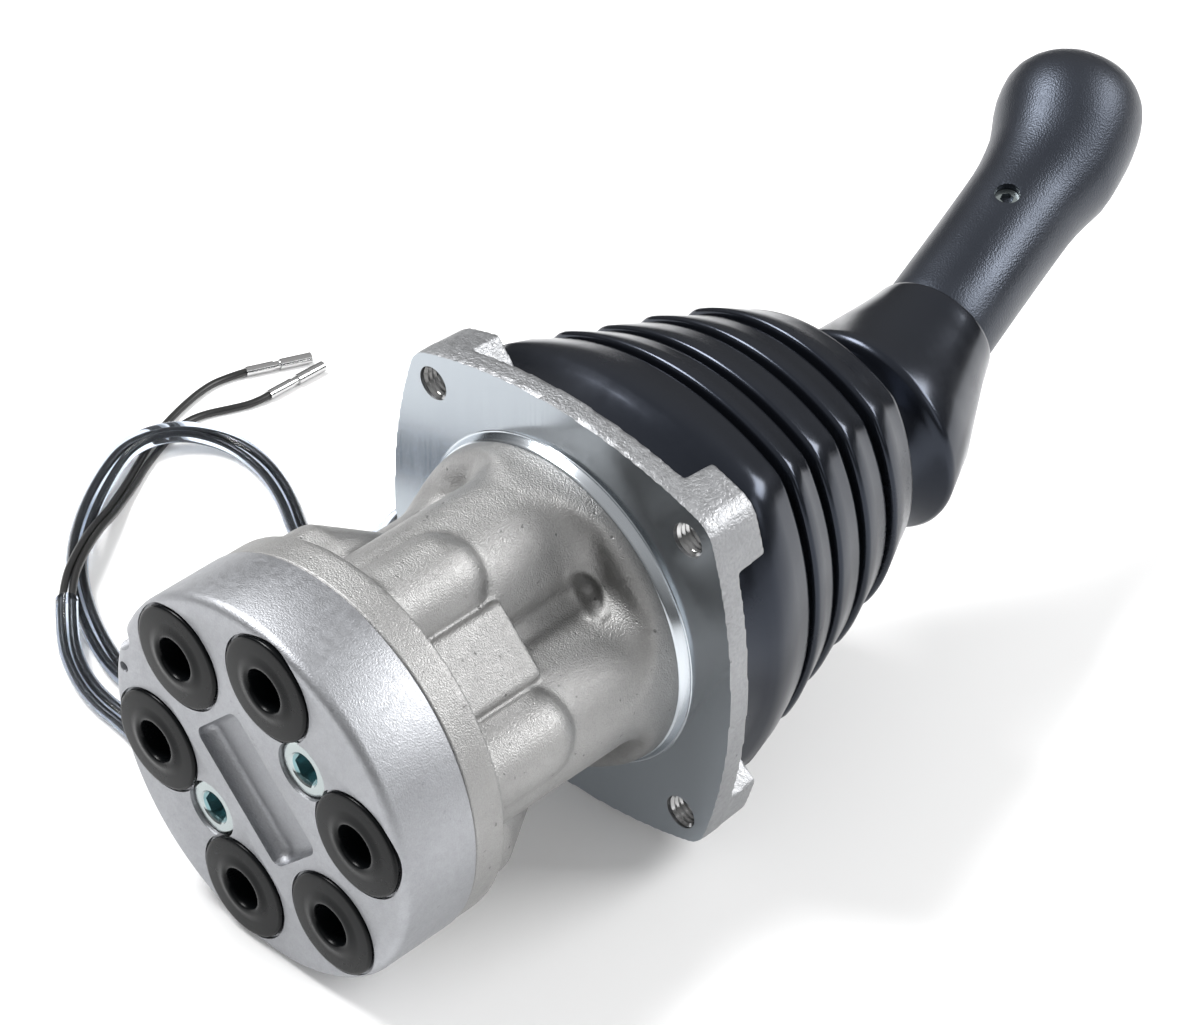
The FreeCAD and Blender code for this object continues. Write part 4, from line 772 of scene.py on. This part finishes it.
def dimple(casting):
    """The oval hollow that the core print leaves under the drum, between two lobes."""
    centre = spot(18.8, -18.4, 78.0)
    outward = Vector((0.5, -0.5, -0.7)).normalized()
    along = Vector((0.7, 0.7, 0.0)).normalized()
    beside = outward.cross(along)
    for vertex in casting.data.vertices:
        away = vertex.co - centre
        if away.length < 8 * MM and abs(away.dot(outward)) < 5.0 * MM:
            reach = math.hypot(away.dot(along) / DIMPLE_LONG, away.dot(beside) / DIMPLE_WIDE) / MM
            deep = max(0.0, 1.0 - reach ** 2)
            lip = math.exp(-((reach - 1.25) / 0.25) ** 2)
            vertex.co += outward * MM * (0.3 * lip - DIMPLE_DEEP * deep ** 0.7)


body_casting()

# %% [markdown]
# The flange stands on the casting as a square plate with bulged sides and round corners. Its outline is
# four large arcs and four small ones, all tangent, so the ring that draws it asks at each angle which
# arc it meets. The plate's lower face is milled bright, while its edge and the thick ears behind it
# keep the cast skin, so the faces are given two finishes by where they point.

# %% Flange plate
HOLE_PITCH = 76.14
BULGE = 51.7
CORNER = 7.5
FLANGE_THICK = 5.5
NOSE_RADIUS = 41.0
NOSE_END = 96.0
EAR_HALF = 10.6
EAR_DEEP = 6.6
EAR_HIGH = 11.0
EAR_DRAFT = 0.95
TAP_RADIUS = 4.1


def flange_ring(height):
    def place(turn):
        reach = square_reach(turn, BULGE, HOLE_PITCH / 2, CORNER)
        return spot(reach * math.cos(turn), reach * math.sin(turn), height)
    return place


HOLES = [(sx * HOLE_PITCH / 2, sy * HOLE_PITCH / 2) for sx, sy in ((1, 1), (-1, 1), (-1, -1), (1, -1))]


def ear(turn):
    """A thick drafted block behind one corner, whose outer side is the flange's own outline."""
    inner = HOLE_PITCH / math.sqrt(2) - EAR_DEEP
    outer = flange_ring(FACE + 3.0)
    outline = [outer(turn + math.radians(degrees))
               for degrees in (-11.5, -9.5, -7.5, -5.0, -2.5, 0.0, 2.5, 5.0, 7.5, 9.5, 11.5)]
    for v in (EAR_HALF, -EAR_HALF):
        outline.append(spot(inner * math.cos(turn) - v * math.sin(turn),
                            inner * math.sin(turn) + v * math.cos(turn), FACE + 3.0))
    bpy.ops.object.select_all(action="DESELECT")
    bpy.ops.mesh.primitive_circle_add(vertices=len(outline), radius=1.0, fill_type="NGON")
    block = bpy.context.object
    for vertex, place in zip(block.data.vertices, outline):
        vertex.co = place
    edit(block)
    bpy.ops.mesh.extrude_region_move(TRANSFORM_OT_translate={"value": (0, 0, EAR_HIGH * MM)})
    bpy.ops.transform.resize(value=(EAR_DRAFT, EAR_DRAFT, 1.0))
    end_edit()
    recalculate(block)
    return block


# %% Fuse and finish the flange
def flange():
    plate = ring_stack([flange_ring(FACE), flange_ring(FACE + FLANGE_THICK)], 320, close=(True, True))
    nose = cutter(NOSE_RADIUS, FACE + 1.0, NOSE_END, sides=160)
    piece = join([plate, nose] + [ear(math.radians(45 + turn)) for turn in QUARTERS])
    add_modifier(piece, "REMESH", mode="VOXEL", voxel_size=0.6 * MM)
    add_modifier(piece, "SMOOTH", factor=0.5, iterations=5)
    apply_modifiers(piece)
    trim(piece, FACE + 0.28, True)
    lowest = min(vertex.co.z for vertex in piece.data.vertices)
    for vertex in piece.data.vertices:
        if vertex.co.z < lowest + 1e-6:
            vertex.co.z = 0.0
    cut(piece, [cutter(TAP_RADIUS, FACE - 1.0, FACE + 15.3, x, y, 48) for x, y in HOLES])
    smooth_by_angle(piece, 40)
    settle(piece, "flange_casting", "flange_skin")
    piece.data.materials.append(FINISH["milled_face"])
    for face in piece.data.polygons:
        if face.normal.dot(VALVE_UP) < -0.9:
            face.material_index = 1
            face.use_smooth = False
    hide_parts("valve_body")
    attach(piece, "housing")


flange()

# %% [markdown]
# Just below the face the body is turned to a round spigot that centres it in the console. It is the
# brightest line on the object. It is a short flared stack of rings with a fine step at its root.

# %% Turned spigot
def spigot():
    low, top = FACE - SPIGOT_HIGH, FACE + 0.02
    rings = [level_ring(height, radius) for height, radius in (
        (low, 38.0), (low, 38.9), (low + 0.2, 39.15), (low + 0.5, 39.3), (top - 0.5, 39.95),
        (top - 0.22, 40.05), (top - 0.2, 40.35), (top, 40.5))]
    band = ring_stack(rings, 192)
    smooth_by_angle(band, 30)
    settle(band, "turned_spigot", "turned_edge")
    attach(band, "housing")


spigot()

# %% [markdown]
# The flange's four holes are tapped, and the thread catches the light as fine bright lines. A thread is
# a profile swept along a helix, made here by the Screw modifier from one small tooth.

# %% Tapped holes
THREAD_PITCH = 1.25
THREAD_TURNS = 10
# Radius and height of the tooth's corners
TOOTH = ((4.05, 0.0), (3.45, 0.55), (3.45, 0.7), (4.05, THREAD_PITCH))


def thread(number, x, y):
    tooth = bpy.data.meshes.new("tooth")
    tooth.from_pydata([(radius * MM, 0, high * MM) for radius, high in TOOTH], [(0, 1), (1, 2), (2, 3)], [])
    piece = bpy.data.objects.new("thread", tooth)
    bpy.context.scene.collection.objects.link(piece)
    piece.location = spot(x, y, FACE + 0.4)
    only(piece)
    add_modifier(piece, "SCREW", angle=2 * math.pi, screw_offset=THREAD_PITCH * MM, iterations=THREAD_TURNS,
                 steps=28, render_steps=28, use_merge_vertices=True, merge_threshold=1e-6)
    apply_modifiers(piece)
    edit(piece)
    bpy.ops.mesh.normals_make_consistent(inside=True)
    end_edit()
    smooth_by_angle(piece, 30)
    settle(piece, f"thread_{number}", "tinned")
    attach(piece, "housing")


for number, (x, y) in enumerate(HOLES, start=1):
    thread(number, x, y)

# %% [markdown]
# The boot is the largest form: five bands like stacked shoulders, each a rounded square that bulges
# out and tucks deep under the next, then a plain cone that grips the lever. The real boot bends at two
# joints; here it is only split, where a groove hides the cut, into a lower half with the skirt and the
# first two bands and an upper half with the rest and the cone.

# %% Boot profile
# Height, half width and squareness of the fold at the foot of each band, and of its upper edge
BANDS = (
    (108.0, 48.5, 2.85, 119.5, 44.9, 2.8), (121.6, 44.8, 2.8, 130.2, 42.2, 2.7),
    (132.4, 41.9, 2.7, 142.2, 39.2, 2.65), (144.4, 39.1, 2.65, 154.7, 35.8, 2.55),
    (157.0, 35.8, 2.55, 169.6, 30.6, 2.6),
)
GROOVE_DEEP = 8.0
SKIRT = ((92.9, 45.3, 2.0), (93.3, 45.9, 2.0), (97.5, 46.3, 2.0), (101.6, 46.9, 2.05), (103.5, 47.5, 2.3),
         (105.6, 48.1, 2.6))


def band_rings(foot, edge, last):
    """One band: a rounded shoulder at its foot, a straight rise, a rounded edge and a deep tuck."""
    (z0, a0, n0), (z1, a1, n1) = foot, edge
    rings = [(z0 - 0.15, a0 - 1.3, n0), (z0, a0 - 0.5, n0), (z0 + 0.45, a0 - 0.05, n0), (z0 + 1.2, a0, n0)]
    rings.append(((z0 + z1) / 2, (a0 + a1) / 2 + 0.1, (n0 + n1) / 2))
    rings += [(z1 - 1.3, a1 + 0.2, n1), (z1 - 0.5, a1 - 0.05, n1), (z1 - 0.1, a1 - 0.55, n1),
              (z1, a1 - 1.3, n1)]
    if not last:
        rings += [(z1 + 0.35, a1 - GROOVE_DEEP * 0.6, n1 - 0.1), (z1 + 0.6, a1 - GROOVE_DEEP, n1 - 0.15),
                  (z1 + 1.2, a1 - GROOVE_DEEP, n1 - 0.15), (z1 + 1.5, a1 - GROOVE_DEEP * 0.6, n1 - 0.1)]
    return rings


HANDLE_TILT = 17.65
CROSSING = 197.85
tilt = math.radians(HANDLE_TILT)
LEAN = Vector((-math.sqrt(0.5), -math.sqrt(0.5), 0))
HANDLE_AXIS = (LEAN * math.sin(tilt) + Vector((0, 0, math.cos(tilt)))).normalized()
HANDLE_UNDER = (LEAN * math.cos(tilt) - Vector((0, 0, math.sin(tilt)))).normalized()
HANDLE_SIDE = HANDLE_AXIS.cross(HANDLE_UNDER)


def on_handle(along, under=0.0, side=0.0):
    return spot(0, 0, CROSSING) + (HANDLE_AXIS * along + HANDLE_UNDER * under + HANDLE_SIDE * side) * MM


def cone_rings():
    """The wide groove, the cone's round lip and the cone up to its collar on the lever."""
    lip = on_handle(-16.0)
    up = Vector((0, 0, 1))
    half_way = (up * 2 + HANDLE_AXIS).normalized()
    shape = [(spot(1.6, 1.6, 170.4), up, 27.0), (spot(1.9, 1.9, 171.4), up, 22.5),
             (spot(2.1, 2.1, 173.0), up, 20.2), (spot(2.5, 2.5, 176.0), up, 20.0),
             (spot(2.9, 2.9, 178.6), up, 21.8),
             (lip - half_way * 2.2 * MM, half_way, 24.0), (lip - half_way * 1.5 * MM, half_way, 25.6),
             (lip - half_way * 0.4 * MM, half_way, 26.35), (lip + half_way * 0.8 * MM, half_way, 26.3)]
    for along, radius in ((-8.0, 23.7), (2.0, 20.3), (11.0, 17.3), (15.5, 16.05), (17.4, 15.6), (18.1, 15.35),
                          (18.5, 14.95), (18.5, 14.3), (18.0, 14.16), (12.0, 14.16)):
        shape.append((on_handle(along), HANDLE_AXIS, radius))
    return [tilted_ring(*row) for row in shape]


# %% Boot, lower and upper half
BOOT_SIDES = 144
BOOT_WALL = 1.2


def boot_half(rings, name):
    piece = ring_stack(rings, BOOT_SIDES)
    add_modifier(piece, "SOLIDIFY", thickness=BOOT_WALL * MM, offset=-1.0, use_rim=True)
    apply_modifiers(piece)
    smooth_by_angle(piece, 70)
    settle(piece, name, "boot_rubber")
    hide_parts("boot")
    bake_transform(piece)


def boot():
    lower = [level_ring(*row) for row in SKIRT]
    upper = []
    for number, (z0, a0, n0, z1, a1, n1) in enumerate(BANDS):
        rows = band_rings((z0, a0, n0), (z1, a1, n1), number == len(BANDS) - 1)
        if number == 0:
            rows = [(107.6, 48.45, 2.8)] + rows[4:]
        half = lower if number < 2 else upper
        half += [level_ring(*row) for row in rows]
    boot_half(lower, "boot_lower")
    boot_half([lower[-1]] + upper + cone_rings(), "boot_upper")


boot()

# %% [markdown]
# The grip is one moulding of grained plastic: a straight barrel that swells into a palm-shaped head.
# Its section stays near round, and its centre drifts to one side, which is what gives it its lean. The
# thumb button fills the top, and a screw hole pierces the barrel.

# %% Grip
# Distance up the handle, drift of the centre and radius
GRIP_SHAPE = (
    (14.0, 0.0, 13.2), (14.2, 0.0, 13.7), (15.0, 0.0, 14.08), (22.0, 0.0, 14.1), (36.0, 0.0, 14.05),
    (50.0, 0.0, 14.08), (58.0, 0.0, 14.15), (63.0, 0.0, 14.25), (67.0, 0.0, 14.55), (72.0, 0.0, 15.25),
    (77.0, 0.1, 16.2),
    (81.0, 0.9, 17.0), (84.6, 1.9, 17.7), (87.5, 2.6, 18.1), (90.4, 3.1, 18.25), (93.3, 3.55, 18.15),
    (96.1, 3.7, 17.7), (98.8, 3.6, 16.9), (101.3, 3.35, 15.75), (103.8, 2.9, 14.2), (106.0, 2.4, 12.2),
    (107.8, 2.1, 10.3), (109.0, 1.95, 8.6), (109.45, 1.9, 7.5), (109.6, 1.9, 6.9), (109.5, 1.9, 6.5),
    (109.0, 1.9, 6.32), (105.0, 1.9, 6.3),
)
BUTTON_UNDER = 1.9
BUTTON_SHAPE = ((104.5, 6.15), (109.0, 6.15), (109.75, 6.1), (110.2, 5.85), (110.75, 5.0), (111.2, 3.9),
                (111.5, 2.6), (111.65, 1.2))
SCREW_AT = 54.2
SCREW_TURN = 52.2
SCREW_HOLE = 3.1


def grip():
    rings = [tilted_ring(on_handle(along, under), HANDLE_AXIS, radius) for along, under, radius in GRIP_SHAPE]
    piece = ring_stack(rings, 96, close=(True, True))
    turn = math.radians(SCREW_TURN)
    out = HANDLE_UNDER * math.cos(turn) + HANDLE_SIDE * math.sin(turn)
    bpy.ops.object.select_all(action="DESELECT")
    bpy.ops.mesh.primitive_cylinder_add(vertices=48, radius=SCREW_HOLE * MM, depth=9.0 * MM,
                                        location=on_handle(SCREW_AT) + out * 15.5 * MM)
    drill = bpy.context.object
    drill.rotation_mode = "QUATERNION"
    drill.rotation_quaternion = out.to_track_quat("Z", "Y")
    cut(piece, [drill])
    soften_edges(piece, 0.25, 2, 55)
    smooth_by_angle(piece, 40)
    settle(piece, "grip_moulding", "grip_plastic")
    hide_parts("grip")
    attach(piece, "lever")


def thumb_button():
    rings = [tilted_ring(on_handle(along, BUTTON_UNDER), HANDLE_AXIS, radius)
             for along, radius in BUTTON_SHAPE]
    piece = ring_stack(rings, 64, close=(True, True))
    smooth_by_angle(piece, 50)
    settle(piece, "thumb_button", "button_plastic")
    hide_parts("push_button")
    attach(piece, "button")


grip()
thumb_button()

# %% [markdown]
# The cable leaves the boot's far side, drops to the table and makes one loose loop that passes under
# the cover. It is a clear vinyl sleeve round two black wires, which run on bare from its cut end to two
# bullet terminals. The route's points are those of the imported tube, apart from the drop to the table
# and the wires' crossings, which were moved a few millimetres to follow the real cable. They
# are the control points of a smooth curve here, so the cord never shows a kink.

# %% Cable route
SURFACE = cad_box[0].z / MM
SLEEVE_OUT = 2.7
WIRE_OUT = 0.95
INNER_WIRE_OUT = 0.75
GAP = 0.05
SLEEVE_EXIT = (-50.5, 15.0, 100.0)
SLEEVE_ROUTE = (
    (-71.0, 13.0, 17.5), (-84.0, 12.5, 3.5), (-101.0, 17.5, 0.0), (-118.0, 27.5, 0.0), (-132.5, 32.4, 0.0),
    (-145.4, 31.8, 0.6), (-154.6, 23.8, 2.1), (-157.2, 11.6, 2.1), (-152.6, 0.0, 0.9), (-142.5, -15.5, 0.0),
    (-130.6, -28.0, 0.0), (-119.6, -35.9, 0.0), (-105.0, -43.4, 0.0), (-89.5, -48.6, 0.0),
    (-74.5, -47.6, 0.0), (-59.0, -41.0, 0.0), (-42.6, -30.3, 0.0), (-27.8, -33.3, 0.0),
    (-19.6, -45.5, 0.0), (-21.6, -60.0, 0.0), (-33.2, -69.3, 0.0), (-47.7, -68.1, 0.0),
    (-60.5, -61.8, 0.0), (-73.5, -58.6, 0.0), (-86.3, -58.3, 0.0), (-97.6, -54.9, 0.0),
    (-107.3, -49.8, 1.2), (-115.4, -43.0, 4.0),
)
WIRE_ROUTES = (
    ((-121.6, -38.6, 6.3), (-127.0, -31.4, 6.1), (-131.8, -24.2, 5.6), (-136.2, -17.2, 4.2),
     (-140.0, -10.8, 2.4), (-144.6, -4.0, 0.8), (-149.0, 3.2, 0.0), (-153.5, 10.4, 0.0), (-160.6, 22.4, 0.0),
     (-165.6, 34.9, 0.0), (-168.7, 46.2, 0.0), (-168.2, 53.2, 0.0), (-166.9, 57.3, 0.4)),
    ((-120.4, -36.9, 6.3), (-125.6, -30.0, 6.1), (-130.2, -23.0, 5.6), (-134.5, -16.2, 4.2),
     (-138.2, -9.8, 2.4), (-142.8, -3.0, 0.8), (-147.2, 4.4, 0.0), (-151.4, 11.2, 0.0), (-156.3, 21.5, 0.0),
     (-159.8, 30.0, 0.0), (-159.6, 37.0, 0.0), (-156.6, 45.0, 0.0), (-155.1, 50.5, 0.0),
     (-155.0, 54.6, 0.4)),
)


def row_points(route, rest):
    return [Vector((x, y, rest + high)) * MM for x, y, high in route]


def route_curve(name, points, resolution):
    """One smooth open spline with the route's points as its control points."""
    data = bpy.data.curves.new(name, "CURVE")
    data.dimensions = "3D"
    spline = data.splines.new("NURBS")
    spline.points.add(len(points) - 1)
    for point, place in zip(spline.points, points):
        point.co = (*place, 1.0)
    spline.order_u = 3
    spline.use_endpoint_u = True
    spline.resolution_u = resolution
    return data


def cord_curve(name, points, radius, finish):
    """The route's spline with a round bevel and closed ends."""
    data = route_curve(name, points, 10)
    data.bevel_depth = radius * MM
    data.bevel_resolution = 6
    data.use_fill_caps = True
    data.materials.append(FINISH[finish])
    piece = bpy.data.objects.new(name, data)
    bpy.context.scene.collection.objects.link(piece)
    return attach(piece, "housing")


def spline_length(points):
    """The smooth curve's own length, measured on a copy with no bevel."""
    ruler = bpy.data.objects.new("ruler", route_curve("ruler", points, 24))
    mesh = bpy.data.meshes.new_from_object(ruler)
    places = [vertex.co.copy() for vertex in mesh.vertices]
    length = sum((places[first] - places[last]).length for first, last in mesh.edge_keys)
    bpy.data.objects.remove(ruler)
    bpy.data.meshes.remove(mesh)
    return length


def inner_wire(number, points, side):
    """A wire that runs beside the sleeve's middle line, swapping height with the other as it goes."""
    path = []
    for step, point in enumerate(points):
        before, after = points[max(step - 1, 0)], points[min(step + 1, len(points) - 1)]
        level = (after - before).cross(Vector((0, 0, 1))).normalized()
        path.append(point + level * side * MM + Vector((0, 0, 0.35 * side * math.sin(step * 1.3))) * MM)
    return cord_curve(f"inner_wire_{number}", path, INNER_WIRE_OUT, "wire_vinyl")


# %% Cable: sleeve and wires
exit_point = laid(spot(*SLEEVE_EXIT))
sleeve_points = [exit_point, exit_point + Vector((-9.5, 0, 0)) * MM]
sleeve_points += row_points(SLEEVE_ROUTE, SURFACE + SLEEVE_OUT + GAP)
sleeve = cord_curve("sleeve_tube", sleeve_points, SLEEVE_OUT, "clear_vinyl")
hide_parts("cable_sleeve")
sleeve_length = spline_length(sleeve_points)
inner_wires = [inner_wire(number, sleeve_points, side) for number, side in enumerate((-0.95, 0.95), start=1)]

onward = (sleeve_points[-1] - sleeve_points[-2]).normalized()
across = onward.cross(Vector((0, 0, 1))).normalized()
for number, route in enumerate(WIRE_ROUTES, start=1):
    apart = (-1 if number == 1 else 1) * (WIRE_OUT + 0.12) * MM
    points = [sleeve_points[-1] + across * apart] + row_points(route, SURFACE + WIRE_OUT + GAP)
    wire = cord_curve(f"bare_wire_{number}", points, WIRE_OUT, "wire_vinyl")
    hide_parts(f"wire_{number}")
    round(spline_length(points), 3)
print("sleeve", round(1000 * sleeve_length), "mm")

# %% [markdown]
# A plain pale table under a white surround stands in for the studio. Only the camera sees the surround
# white: mirrors see a sky that darkens towards the horizon, and the lamps stay at a plain level, so the
# metal shows its real tone and the black parts stay black.

# %% Table and light
WHITE = (1.0, 1.0, 1.0, 1.0)

make_finish("table_white", Base_Color=grey(0.86), Roughness=0.9, Specular_IOR_Level=0.1,
            Emission_Color=WHITE, Emission_Strength=0.12)
bpy.ops.object.select_all(action="DESELECT")
bpy.ops.mesh.primitive_plane_add(size=6.0, location=(0, 0, cad_box[0].z))
table = bpy.context.object
table.name = "table"
table.data.materials.append(FINISH["table_white"])

world = bpy.data.worlds.new("studio")
bpy.context.scene.world = world
world.use_nodes = True
tree = world.node_tree
background = tree.nodes["Background"]
background.inputs["Color"].default_value = WHITE
seen = add(tree, "LightPath").outputs["Is Camera Ray"]
way = add(tree, "SeparateXYZ", Vector=add(tree, "TexCoord").outputs["Generated"])
sky = ramp(tree, way.outputs["Z"], 0.0, 0.75, 0.05, 0.5)
tree.links.new(mix(tree, "FLOAT", seen, sky, 1.0), background.inputs["Strength"])


def lamp(name, place, size, power):
    """A soft rectangular lamp, turned towards the origin."""
    data = bpy.data.lights.new(name, "AREA")
    data.shape = "RECTANGLE"
    data.size, data.size_y = size
    data.energy = power
    light = bpy.data.objects.new(name, data)
    light.location = place
    light.rotation_euler = (-Vector(place)).to_track_quat("-Z", "Y").to_euler()
    bpy.context.scene.collection.objects.link(light)


lamp("key", (-0.62, -0.25, 0.95), (0.55, 0.4), 17.0)
lamp("fill", (1.1, 0.15, 0.55), (0.5, 0.7), 1.6)
lamp("rim", (0.65, 1.0, 0.85), (0.9, 0.5), 17.0)
bpy.context.scene.view_settings.view_transform = "Standard"
